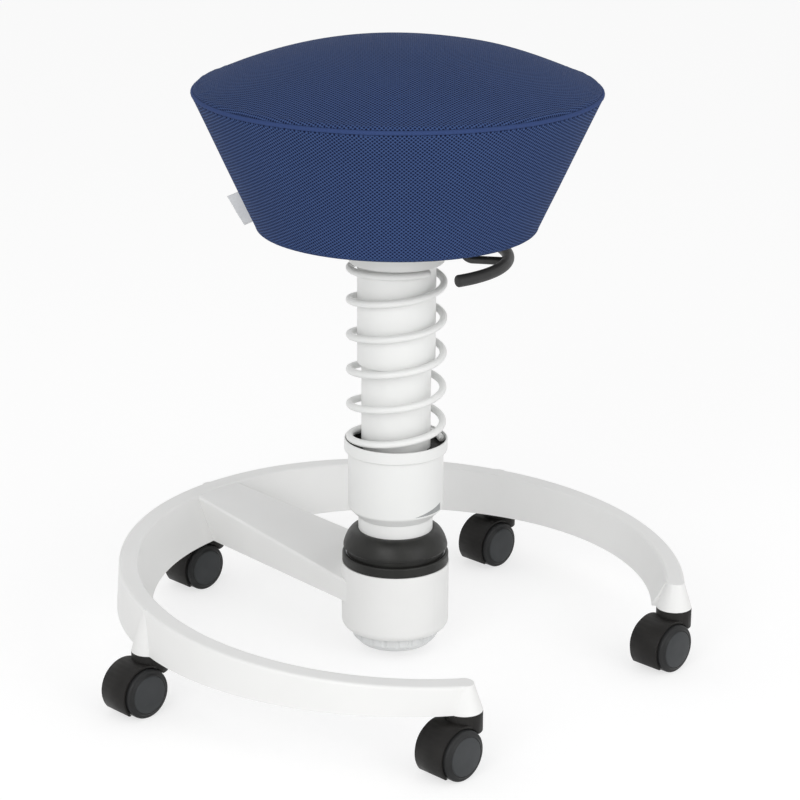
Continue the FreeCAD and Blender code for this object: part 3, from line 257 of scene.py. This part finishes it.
def air_mesh(name, turn, yarn, strand_highlight, pore_shade):
    """Spacer fabric: a net of yarn with open pores, its rows turned by some degrees on the cloth. A painted
    highlight runs along the crests of the strands, and the pores are painted dark as the shade inside them.
    """
    material, tree, principled = shader(name, yarn, 0.8, specular_ior_level=0.12)
    source = add(tree, "ShaderNodeUVMap", uv_map="cloth")
    laid = add(tree, "ShaderNodeMapping")
    laid.inputs["Rotation"].default_value = (0, 0, math.radians(turn))
    laid.inputs["Scale"].default_value = (1 / MESH_PITCH, 1 / MESH_PITCH, 1)
    tree.links.new(source.outputs["UV"], laid.inputs["Vector"])
    wobble = add(tree, "ShaderNodeTexNoise")
    wobble.inputs["Scale"].default_value = 0.9
    wobble.inputs["Detail"].default_value = 1
    tree.links.new(laid.outputs["Vector"], wobble.inputs["Vector"])
    shifted = add(tree, "ShaderNodeVectorMath", operation="MULTIPLY_ADD")
    tree.links.new(wobble.outputs["Color"], shifted.inputs[0])
    shifted.inputs[1].default_value = (0.16, 0.16, 0)
    tree.links.new(laid.outputs["Vector"], shifted.inputs[2])
    cell = add(tree, "ShaderNodeVectorMath", operation="FRACTION")
    tree.links.new(shifted.outputs["Vector"], cell.inputs[0])
    centred = add(tree, "ShaderNodeVectorMath", operation="SUBTRACT")
    tree.links.new(cell.outputs["Vector"], centred.inputs[0])
    centred.inputs[1].default_value = (0.5, 0.5, 0)
    away = add(tree, "ShaderNodeVectorMath", operation="ABSOLUTE")
    tree.links.new(centred.outputs["Vector"], away.inputs[0])
    axes = add(tree, "ShaderNodeSeparateXYZ")
    tree.links.new(away.outputs["Vector"], axes.inputs["Vector"])
    # Rounded squares: the fourth root of the sum of fourth powers.
    across = maths(tree, "POWER", axes.outputs["X"], 4.0)
    along = maths(tree, "POWER", axes.outputs["Y"], 4.0)
    reach = maths(tree, "POWER", maths(tree, "ADD", across, along), 0.25)
    # From a pore's middle, the net starts in the first range, and the painted highlight lies along the
    # strands' crests in the second.
    net = ranged(tree, reach, 0.17, 0.4, 0, 1, smooth=True)
    highlight_band = ranged(tree, reach, 0.38, 0.52, 0, 1, smooth=True)
    place = object_place(tree)
    cloud = ranged(tree, noise_at(tree, place, 14), 0.3, 0.7, 0, 1)
    fibre = ranged(tree, noise_at(tree, place, 2600, 2), 0.3, 0.7, 0, 1)
    ground = mixed(tree, cloud, yarn, tuple(value * 1.13 for value in yarn))
    # The strands' crests are painted lighter as a painted highlight, its strength flickering with the fibre
    # noise.
    highlight_strength = maths(tree, "ADD", maths(tree, "MULTIPLY", fibre, 0.5), 0.5)
    lit = mixed(tree, maths(tree, "MULTIPLY", highlight_band, highlight_strength), ground, strand_highlight)
    # The pores are painted near-black, as the shade inside them.
    tree.links.new(mixed(tree, net, pore_shade, lit), principled.inputs["Base Color"])
    height = maths(tree, "ADD", net, maths(tree, "MULTIPLY", fibre, 0.12))
    bumped(tree, principled, height, 0.55, 0.0007)
    return material


def twill(name, color, other, pitch):
    """Piping tape with a slanting rib round its cord."""
    material, tree, principled = shader(name, color, 0.8, specular_ior_level=0.12)
    source = add(tree, "ShaderNodeUVMap", uv_map="cloth")
    wave = add(tree, "ShaderNodeTexWave")
    wave.inputs["Scale"].default_value = WAVE_TURN / pitch
    wave.inputs["Distortion"].default_value = 0.4
    mapping = add(tree, "ShaderNodeMapping")
    mapping.inputs["Rotation"].default_value = (0, 0, math.radians(TWILL_TURN))
    tree.links.new(source.outputs["UV"], mapping.inputs["Vector"])
    tree.links.new(mapping.outputs["Vector"], wave.inputs["Vector"])
    tree.links.new(mixed(tree, wave.outputs["Fac"], color, other), principled.inputs["Base Color"])
    bumped(tree, principled, wave.outputs["Fac"], 0.35, 0.0003)
    return material


# Mesh helpers


def new_piece(name, verts, faces, material, smooth=True):
    """A new mesh piece from points and faces."""
    mesh = bpy.data.meshes.new(name)
    mesh.from_pydata([tuple(vert) for vert in verts], [], faces)
    mesh.materials.append(material)
    mesh.validate()
    mesh.update()
    for polygon in mesh.polygons:
        polygon.use_smooth = smooth
    piece = bpy.data.objects.new(name, mesh)
    bpy.context.collection.objects.link(piece)
    return piece


def turned(name, profile, segments, material, shape=None, uv=None):
    """A surface turned about Z from (radius, height) points; a radius of 0 closes it on the axis.

    shape moves a point, given (radius, height, bearing, index); uv gives its place on the flat cloth.
    """
    verts = []
    rows = []
    for index, (radius, height) in enumerate(profile):
        if radius == 0:
            rows.append([len(verts)] * segments)
            verts.append(Vector((0, 0, height)))
            continue
        row = []
        for step in range(segments):
            bearing = TURN * step / segments
            where = (radius, height) if shape is None else shape(radius, height, bearing, index)
            row.append(len(verts))
            verts.append(Vector((where[0] * math.cos(bearing), where[0] * math.sin(bearing), where[1])))
        rows.append(row)
    faces = []
    marks = []
    for index in range(len(rows) - 1):
        for step in range(segments):
            after = (step + 1) % segments
            corners = [(index, step), (index, after), (index + 1, after), (index + 1, step)]
            face, mark = [], []
            for row, column in corners:
                vert = rows[row][column]
                if vert in face:
                    continue
                face.append(vert)
                mark.append((row, step + 1 if column == after else step))
            faces.append(face)
            marks.append(mark)
    piece = new_piece(name, verts, faces, material)
    if uv is not None:
        layer = piece.data.uv_layers.new(name="cloth")
        for polygon, mark in zip(piece.data.polygons, marks):
            for loop, (row, column) in zip(polygon.loop_indices, mark):
                layer.data[loop].uv = uv(profile[row][0], profile[row][1], TURN * column / segments, row)
    return piece


def soft_edges(name, width):
    """Weld a CAD node's faces for display and break its sharp edges."""
    weld = nodes[name].modifiers.new("weld", "WELD")
    weld.merge_threshold = 0.02 * MM
    bevel = nodes[name].modifiers.new("edge", "BEVEL")
    bevel.width = width
    bevel.segments = 2
    bevel.limit_method = "ANGLE"
    bevel.angle_limit = math.radians(38)
    bevel.harden_normals = True


def paint(material, *names):
    """Give CAD nodes a material."""
    for name in names:
        data = nodes[name].data
        data.materials.clear()
        data.materials.append(material)


# Seat


def crown_height(radius, edge, base, top):
    """Height of the crown, a cap of a ball through its edge and its top."""
    rise = top - base
    ball = (edge * edge + rise * rise) / (2 * rise)
    return top - ball + math.sqrt(ball * ball - radius * radius)


def seat_top(cloth):
    """The seat's cushion: a crown, an edge drawn into the piping and a flat underside."""
    low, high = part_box("seat_cover_top")
    foam_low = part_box("seat_foam")[0]
    edge = high[0]
    top = high[2]
    seam = low[2]
    base = seam + CROWN_LIFT
    shoulder = edge - EDGE_ROLL
    shoulder_height = crown_height(shoulder, edge, base, top)
    profile = [(0, top)]
    rings = 46
    for ring in range(1, rings + 1):
        radius = shoulder * ring / rings
        profile.append((radius, crown_height(radius, edge, base, top)))
    # The edge rolls over to an upright tangent at the seam.
    roll = 8
    for step in range(1, roll + 1):
        turn = math.pi / 2 * step / roll
        profile.append((shoulder + (edge - shoulder) * math.sin(turn) ** 0.9,
                        seam + (shoulder_height - seam) * math.cos(turn) ** 1.25))
    skirt = edge - 2.6 * MM
    last_shown = len(profile) - 1
    profile += [(skirt, seam - 1.2 * MM), (skirt, foam_low[2]), (skirt - 12 * MM, foam_low[2]),
                (0, foam_low[2])]
    # The cloth's own distance from the centre, measured along the crown and round the edge.
    along = [0.0]
    for before, after in zip(profile, profile[1:]):
        along.append(along[-1] + math.dist(before, after))

    def shape(radius, height, bearing, index):
        if index > last_shown:
            return radius, height
        here = Vector((radius * math.cos(bearing), radius * math.sin(bearing), 0))
        soft = noise.noise(here * 11) * 0.9 * MM * (1 - (radius / edge) ** 6)
        # The seam gathers the cloth a little every few centimetres.
        near = max(0.0, (radius / edge - 0.93) / 0.07)
        waves = (0.28 * math.sin(41 * bearing + 1.3) + 0.2 * math.sin(67 * bearing)) * MM
        gather = waves * near * (1 - near) * 4
        return radius, height + soft + gather

    def uv(radius, height, bearing, index):
        return along[index] * math.cos(bearing), along[index] * math.sin(bearing)

    piece = turned("seat_cushion", profile, 224, cloth, shape, uv)
    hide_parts("seat_cover_top", "seat_foam")
    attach(piece, "seat")
    return piece


def side_cover(cloth):
    """The conical side cover, turned under at the lower edge, with one upright seam."""
    low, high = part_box("seat_cover_side")
    foot = low[2]
    rim = high[2]
    disc_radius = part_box("seat_bottom_cover")[1][0]
    rim_radius = high[0]
    slope = (rim_radius - SIDE_FOOT_RADIUS) / (rim - foot)
    half_cone = math.sin(math.atan(slope))

    # Tucked in behind the piping, down the cone, round the fold and in to the bottom cover.
    profile = [(rim_radius - 2.4 * MM, rim - 0.6 * MM), (rim_radius - 0.7 * MM, rim + 0.1 * MM)]
    rows = 30
    for row in range(rows + 1):
        height = rim - SIDE_TOP_DROP - (rim - foot - SIDE_TOP_DROP - SIDE_FOLD) * row / rows
        profile.append((SIDE_FOOT_RADIUS + slope * (height - foot), height))
    shown = len(profile)
    corner = SIDE_FOOT_RADIUS + slope * SIDE_FOLD
    bends = 6
    for step in range(1, bends + 1):
        turn = math.pi / 2 * step / bends
        profile.append((corner - SIDE_FOLD * (1 - math.cos(turn)) - 0.4 * MM * step / bends,
                        foot + SIDE_FOLD * (1 - math.sin(turn))))
    profile += [(disc_radius + 1.5 * MM, foot), (disc_radius - 2.5 * MM, foot - 0.1 * MM),
                (disc_radius - 3 * MM, foot + 0.4 * MM)]

    def shape(radius, height, bearing, index):
        if index < 2:
            return radius, height
        # The upright seam lies in a groove between two soft swells.
        turn = math.atan2(math.sin(bearing - SEAM_BEARING), math.cos(bearing - SEAM_BEARING))
        groove = -0.7 * MM * math.exp(-(turn * radius / (1.1 * MM)) ** 2)
        swell = 0.35 * MM * math.exp(-((abs(turn) * radius - 4 * MM) / (2.6 * MM)) ** 2)
        share = (rim - height) / (rim - foot)
        soft = noise.noise(Vector((math.cos(bearing), math.sin(bearing), height * 5)) * 2.1) * 0.5 * MM
        near_rim = math.exp(-share / 0.05)
        pucker = 0.22 * math.sin(53 * bearing) * MM * near_rim
        if index >= shown:
            under = (index - shown) / 8
            pucker = 0.35 * math.sin(61 * bearing) * math.sin(23 * bearing + 1) * MM * min(1, under)
            return radius + pucker, height + max(0.0, pucker) * 0.4
        soft *= math.sin(math.pi * min(1, max(0, share)))
        return radius + groove + swell + soft + pucker, height

    def uv(radius, height, bearing, index):
        turn = (bearing - SEAM_BEARING) % TURN
        if index < shown:
            far = radius / half_cone
        else:
            far = SIDE_FOOT_RADIUS / half_cone - (index - shown) * 1.2 * MM
        angle = turn * half_cone
        return far * math.cos(angle), far * math.sin(angle)

    piece = turned("seat_side_cover", profile, 288, cloth, shape, uv)
    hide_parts("seat_cover_side")
    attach(piece, "seat")
    return piece


def piping(cloth):
    """The corded seam between top and side, with a slight twist in its tape."""
    low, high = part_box("seat_piping")
    middle = (low[2] + high[2]) / 2
    ring = high[0] - PIPING_HALF
    around, section = 360, 14
    verts, faces = [], []
    for step in range(around):
        bearing = TURN * step / around
        swell = 1 + 0.035 * math.sin(97 * bearing)
        for side in range(section):
            turn = TURN * side / section
            radius = ring + PIPING_HALF * swell * math.cos(turn)
            verts.append((radius * math.cos(bearing), radius * math.sin(bearing),
                          middle + PIPING_HALF * swell * math.sin(turn)))
    for step in range(around):
        for side in range(section):
            after, beside = (step + 1) % around, (side + 1) % section
            faces.append([step * section + side, after * section + side, after * section + beside,
                          step * section + beside])
    piece = new_piece("seat_piping_cord", verts, faces, cloth)
    layer = piece.data.uv_layers.new(name="cloth")
    for polygon in piece.data.polygons:
        step, side = divmod(polygon.index, section)
        corners = [(step, side), (step + 1, side), (step + 1, side + 1), (step, side + 1)]
        for loop, (along, across) in zip(polygon.loop_indices, corners):
            layer.data[loop].uv = (TURN * ring * along / around, TURN * PIPING_HALF * across / section)
    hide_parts("seat_piping")
    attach(piece, "seat")
    return piece


def tag(cloth):
    """A bare woven strip, folded double and sewn into the side seam."""
    side_low, side_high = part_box("seat_cover_side")
    slope = (side_high[0] - SIDE_FOOT_RADIUS) / (side_high[2] - side_low[2])
    up = Vector((slope, 0, 1)).normalized()
    out = Vector((1, 0, -slope)).normalized()
    foot = SIDE_FOOT_RADIUS + slope * 2.4 * MM
    start = Vector((foot - 0.5 * MM, 0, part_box("cover_tag")[0][2] + TAG_RISE))
    columns, rows = 14, 10
    verts, faces = [], []
    # Out along one side of the fold and back along the other.
    path = []
    for step in range(rows + 1):
        path.append((TAG_REACH * step / rows, TAG_HALF))
    for step in range(1, 6):
        turn = math.pi * step / 6
        path.append((TAG_REACH + TAG_HALF * math.sin(turn), TAG_HALF * math.cos(turn)))
    for step in range(rows, -1, -1):
        path.append((TAG_REACH * step / rows, -TAG_HALF))
    for column in range(columns + 1):
        share = column / columns
        for far, side in path:
            curl = 0.9 * MM * (far / TAG_REACH) ** 2 * math.sin(math.pi * share * 1.3 + 0.4)
            point = start + up * (TAG_LENGTH * share) + out * (far * (1 + TAG_LEAN * share))
            verts.append((point.x, side + curl, point.z))
    count = len(path)
    for column in range(columns):
        for row in range(count - 1):
            first = column * count + row
            faces.append([first, first + 1, first + count + 1, first + count])
    for column in (0, columns):
        rim = [column * count + row for row in range(count)]
        faces.append(rim if column else rim[::-1])
    piece = new_piece("cover_tag_strip", verts, faces, cloth)
    piece.data.transform(Matrix.Rotation(SEAM_BEARING, 4, "Z"))
    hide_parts("cover_tag")
    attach(piece, "seat")
    return piece


# Column


def rubber_dome(cloth):
    """The rubber dome over the tilting joint, drawn up from its skirt to the column's neck."""
    low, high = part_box("boot_dome")
    edge, foot, top = high[0], low[2], high[2]
    skirt = foot + BOOT_WALL
    outer = [(edge - BOOT_HEM, foot), (edge, foot + BOOT_HEM), (edge, skirt)]
    steps = 14
    for step in range(1, steps + 1):
        # A quarter turn with a fuller shoulder than a circle's.
        turn = math.pi / 2 * step / steps
        width = math.cos(turn) ** 0.8 * (1 - 0.09 * math.sin(2 * turn))
        outer.append((BOOT_NECK + (edge - BOOT_NECK) * width, skirt + (top - skirt) * math.sin(turn) ** 1.08))
    inner = [(max(BOOT_NECK, radius - BOOT_WALL), height - 0.9 * BOOT_WALL) for radius, height in outer[3:]]
    profile = outer + [(BOOT_NECK, top - BOOT_WALL)] + inner[-3::-1] + [(edge - BOOT_WALL, foot)]
    piece = turned("rubber_dome", profile + profile[:1], 96, cloth)
    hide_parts("boot_dome")
    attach(piece, "column")
    return piece


def spring_wire(coat):
    """The coil spring as one smooth wire."""
    source = nodes["coil_spring"]
    verts = [source.matrix_world @ vert.co for vert in source.data.vertices]
    faces = [list(polygon.vertices) for polygon in source.data.polygons]
    piece = new_piece("spring_wire", verts, faces, coat)
    work = bmesh.new()
    work.from_mesh(piece.data)
    bmesh.ops.remove_doubles(work, verts=work.verts, dist=0.02 * MM)
    work.to_mesh(piece.data)
    work.free()
    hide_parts("coil_spring")
    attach(piece, "column")
    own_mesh(piece)
    return piece


def wedge_scale(ink):
    """The printed wedge on the cup that shows which way the spring gets stiffer."""
    radius = CUP_RADIUS + INK_RISE
    start, end = math.radians(WEDGE_START), math.radians(WEDGE_END)
    steps = 20
    verts, faces = [], []
    for step in range(steps + 1):
        share = step / steps
        bearing = start + (end - start) * share
        for height in (WEDGE_FOOT, WEDGE_FOOT + WEDGE_HEIGHT * share + WEDGE_TIP):
            verts.append((radius * math.cos(bearing), radius * math.sin(bearing), height))
    for step in range(steps):
        faces.append([2 * step, 2 * step + 2, 2 * step + 3, 2 * step + 1])
    piece = new_piece("cup_scale", verts, faces, ink)
    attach(piece, "cup")
    return piece


# Casters


def wheels(tread, cap):
    """Each wheel turned about its own axle: a smooth tread and a raised centre disc."""
    joints = {joint["child"]: joint for joint in frame["joints"]}
    body = [(WHEEL_BORE, WHEEL_INNER), (WHEEL_RADIUS - 1.2 * MM, WHEEL_INNER),
            (WHEEL_RADIUS - 0.3 * MM, WHEEL_INNER + 0.4 * MM), (WHEEL_RADIUS, WHEEL_INNER + 1.2 * MM),
            (WHEEL_RADIUS, WHEEL_OUTER - WHEEL_SHOULDER)]
    bends = 5
    for step in range(1, bends + 1):
        turn = math.pi / 2 * step / bends
        body.append((WHEEL_RADIUS - WHEEL_SHOULDER * (1 - math.cos(turn)),
                     WHEEL_OUTER - WHEEL_SHOULDER * (1 - math.sin(turn))))
    face, disc = [[(radius * MM, WHEEL_OUTER + height * MM) for radius, height in points]
                  for points in (TREAD_FACE, DISC_FACE)]
    for number in CASTERS:
        for side, sign in (("left", -1), ("right", 1)):
            name = "caster_%d_wheel_%s" % (number, side)
            axis = Vector(joints[name]["axis"]).normalized() * sign
            middle = Vector(joints[name]["pos_m"]) - axis * WHEEL_MIDDLE
            place = Matrix.Translation(middle) @ axis.to_track_quat("Z", "Y").to_matrix().to_4x4()
            for suffix, line, material in (("tread", body + face, tread), ("disc", disc, cap)):
                piece = turned("%s_%s" % (name, suffix), line, 72, material)
                piece.data.transform(place)
                if suffix == "tread":
                    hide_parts(name)
                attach(piece, name)


# Stage


def stage():
    """A pale floor without an edge, soft lamps and a white surround."""
    corners = [(x * FLOOR_HALF, y * FLOOR_HALF, 0) for x, y in ((-1, -1), (1, -1), (1, 1), (-1, 1))]
    floor = new_piece("studio_floor", corners, [[0, 1, 2, 3]], floor_look(), smooth=False)
    world = bpy.data.worlds.new("studio")
    world.use_nodes = True
    tree = world.node_tree
    tree.nodes.clear()
    # Rays that show the surround get plain white. The others get soft light, more from the sides.
    way = add(tree, "ShaderNodeTexCoord")
    axes = add(tree, "ShaderNodeSeparateXYZ")
    tree.links.new(way.outputs["Generated"], axes.inputs["Vector"])
    soft = ranged(tree, axes.outputs["Z"], 0.0, 1.0, WORLD_SIDE, WORLD_TOP)
    rays = seen_rays(tree)
    strength = maths(tree, "ADD", maths(tree, "MULTIPLY", soft, maths(tree, "SUBTRACT", 1.0, rays)), rays)
    sky = add(tree, "ShaderNodeBackground")
    sky.inputs["Color"].default_value = (1, 1, 1, 1)
    tree.links.new(strength, sky.inputs["Strength"])
    out = add(tree, "ShaderNodeOutputWorld")
    tree.links.new(sky.outputs[0], out.inputs[0])
    bpy.context.scene.world = world
    for name, bearing, height, distance, width, power in LAMPS:
        lamp = bpy.data.lights.new(name, "AREA")
        lamp.shape = "DISK"
        lamp.size = width
        lamp.energy = power
        item = bpy.data.objects.new(name, lamp)
        bpy.context.collection.objects.link(item)
        turn = math.radians(bearing)
        item.location = (distance * math.cos(turn), distance * math.sin(turn), height)
        item.rotation_euler = (Vector((0, 0, LAMP_AIM)) - item.location).to_track_quat("-Z", "Y").to_euler()


def floor_look():
    """White floor: it shows as white paper, and the stool's soft shadow stays on it."""
    material = bpy.data.materials.new("floor_look")
    material.use_nodes = True
    tree = material.node_tree
    tree.nodes.clear()
    seen = seen_rays(tree)
    diffuse = add(tree, "ShaderNodeBsdfDiffuse")
    shade = mixed(tree, seen, (FLOOR_BOUNCE,) * 3, (FLOOR_SHADE,) * 3)
    tree.links.new(shade, diffuse.inputs["Color"])
    paper = add(tree, "ShaderNodeEmission")
    tree.links.new(maths(tree, "MULTIPLY", seen, FLOOR_PAPER), paper.inputs["Strength"])
    both = add(tree, "ShaderNodeAddShader")
    tree.links.new(diffuse.outputs[0], both.inputs[0])
    tree.links.new(paper.outputs[0], both.inputs[1])
    out = add(tree, "ShaderNodeOutputMaterial")
    tree.links.new(both.outputs[0], out.inputs["Surface"])
    return material


def seen_rays(tree):
    """1 for rays that show the surroundings: seen directly, in a reflection or through glass."""
    rays = add(tree, "ShaderNodeLightPath")
    mirrored = maths(tree, "MAXIMUM", rays.outputs["Is Glossy Ray"], rays.outputs["Is Transmission Ray"])
    return maths(tree, "MAXIMUM", rays.outputs["Is Camera Ray"], mirrored)


def camera():
    """The photograph's camera."""
    data = bpy.data.cameras.new("photo_camera")
    data.sensor_width = SENSOR
    data.lens = FOCAL_PIXELS / PHOTO_PIXELS * SENSOR
    data.clip_end = VIEW_END
    item = bpy.data.objects.new("photo_camera", data)
    bpy.context.collection.objects.link(item)
    bearing = math.radians(CAMERA_BEARING)
    across, along = CAMERA_DISTANCE * math.cos(bearing), CAMERA_DISTANCE * math.sin(bearing)
    place = Matrix.Translation((across, along, CAMERA_HEIGHT))
    heading = Matrix.Rotation(bearing + math.pi / 2 - math.radians(CAMERA_YAW), 4, "Z")
    tilt = Matrix.Rotation(math.radians(90 - CAMERA_DOWN), 4, "X")
    roll = Matrix.Rotation(math.radians(-CAMERA_ROLL), 4, "Z")
    item.matrix_world = place @ heading @ tilt @ roll
    bpy.context.scene.camera = item


bpy.context.scene.view_settings.view_transform = "Standard"
camera()
stage()

white = enamel("white_enamel_look", (0.78, 0.785, 0.775), (0.81, 0.815, 0.805), (0.3, 0.4), 420)
casting = enamel("base_coat_look", (0.8, 0.8, 0.79), (0.83, 0.83, 0.82), (0.42, 0.52), 700)
black_enamel = enamel("black_enamel_look", (0.02, 0.02, 0.02), (0.028, 0.028, 0.028), (0.35, 0.5), 600)
hood = moulded("hood_look", (0.008, 0.0075, 0.007), (0.013, 0.012, 0.011), (0.45, 0.6))
tread = moulded("tread_look", (0.014, 0.0145, 0.015), (0.02, 0.0205, 0.021), (0.4, 0.55), 900)
disc = moulded("disc_look", (0.037, 0.04, 0.042), (0.046, 0.049, 0.052), (0.38, 0.5), 900)
grip = moulded("grip_look", (0.03, 0.03, 0.03), (0.042, 0.042, 0.042), (0.42, 0.55), 1200)
bush = moulded("bush_look", (0.68, 0.66, 0.6), (0.72, 0.7, 0.65), (0.4, 0.5))
boot = finish("boot_rubber_look", (0.012, 0.012, 0.011), (0.018, 0.018, 0.016), (0.36, 0.48), 45,
              (900, 3, 0.35, 0.1 * MM), specular_ior_level=0.3)
metal = finish("bare_steel_look", (0.56, 0.57, 0.59), (0.64, 0.65, 0.67), (0.22, 0.4), 20,
               (300, 2, 0.2, 0.05 * MM), stretch=(1, 1, 40), metallic=1.0)
milky = finish("knob_look", (0.66, 0.67, 0.67), (0.74, 0.75, 0.75), (0.24, 0.36), 25, (500, 2, 0.1, 0.1 * MM))
board = finish("plywood_look", (0.6, 0.45, 0.29), (0.43, 0.3, 0.18), (0.55, 0.7), 4,
               (9, 4, 0.3, 0.2 * MM), stretch=(3, 40, 200))
tag_cloth = finish("tag_look", (0.62, 0.63, 0.64), (0.7, 0.71, 0.72), 0.65, 700,
                   (1800, 2, 0.4, 0.1 * MM), stretch=(1, 1, 6), sheen_weight=0.2)
ink = finish("scale_ink_look", (0.29, 0.3, 0.3), (0.34, 0.35, 0.35), 0.45, 200, None)
# The net's yarn, the painted highlight on its strands and the painted shade in its pores
blues = ((0.026, 0.05, 0.14), (0.062, 0.105, 0.235), (0.003, 0.006, 0.028))
top_mesh = air_mesh("top_mesh_look", TOP_MESH_TURN, *blues)
side_mesh = air_mesh("side_mesh_look", SIDE_MESH_TURN, *blues)
cord_cloth = twill("piping_look", (0.024, 0.045, 0.13), (0.04, 0.07, 0.19), TWILL_PITCH)

paint(casting, "base_frame")
paint(white, "column_foot", "lower_tube", "spring_cup", "upper_tube", "top_collar")
paint(black_enamel, "gas_cylinder", "seat_plate", "lever_rod")
paint(metal, "tilt_carrier", "gimbal_ring", "gimbal_pins", "guide_tube", "piston_rod", "thrust_bearing",
      "rod_clip", "knob_clip", "seat_screws", "lever_pivot_pin", "valve_pin", "pressure_plate")
paint(hood, "caster_sockets", "spring_seat", "seat_bottom_cover", "seat_shell")
paint(grip, "lever_grip")
paint(bush, "guide_bushes")
paint(boot, "boot_ring", "boot_bellows", "rubber_buffer")
paint(milky, "adjust_knob")
paint(board, "seat_pan")
for number in CASTERS:
    paint(hood, "caster_%d_hood" % number)
    paint(metal, "caster_%d_stem_and_axle" % number)
    soft_edges("caster_%d_hood" % number, HOOD_EDGE)

seat_top(top_mesh)
side_cover(side_mesh)
piping(cord_cloth)
tag(tag_cloth)
rubber_dome(boot)
spring_wire(white)
wedge_scale(ink)
wheels(tread, disc)
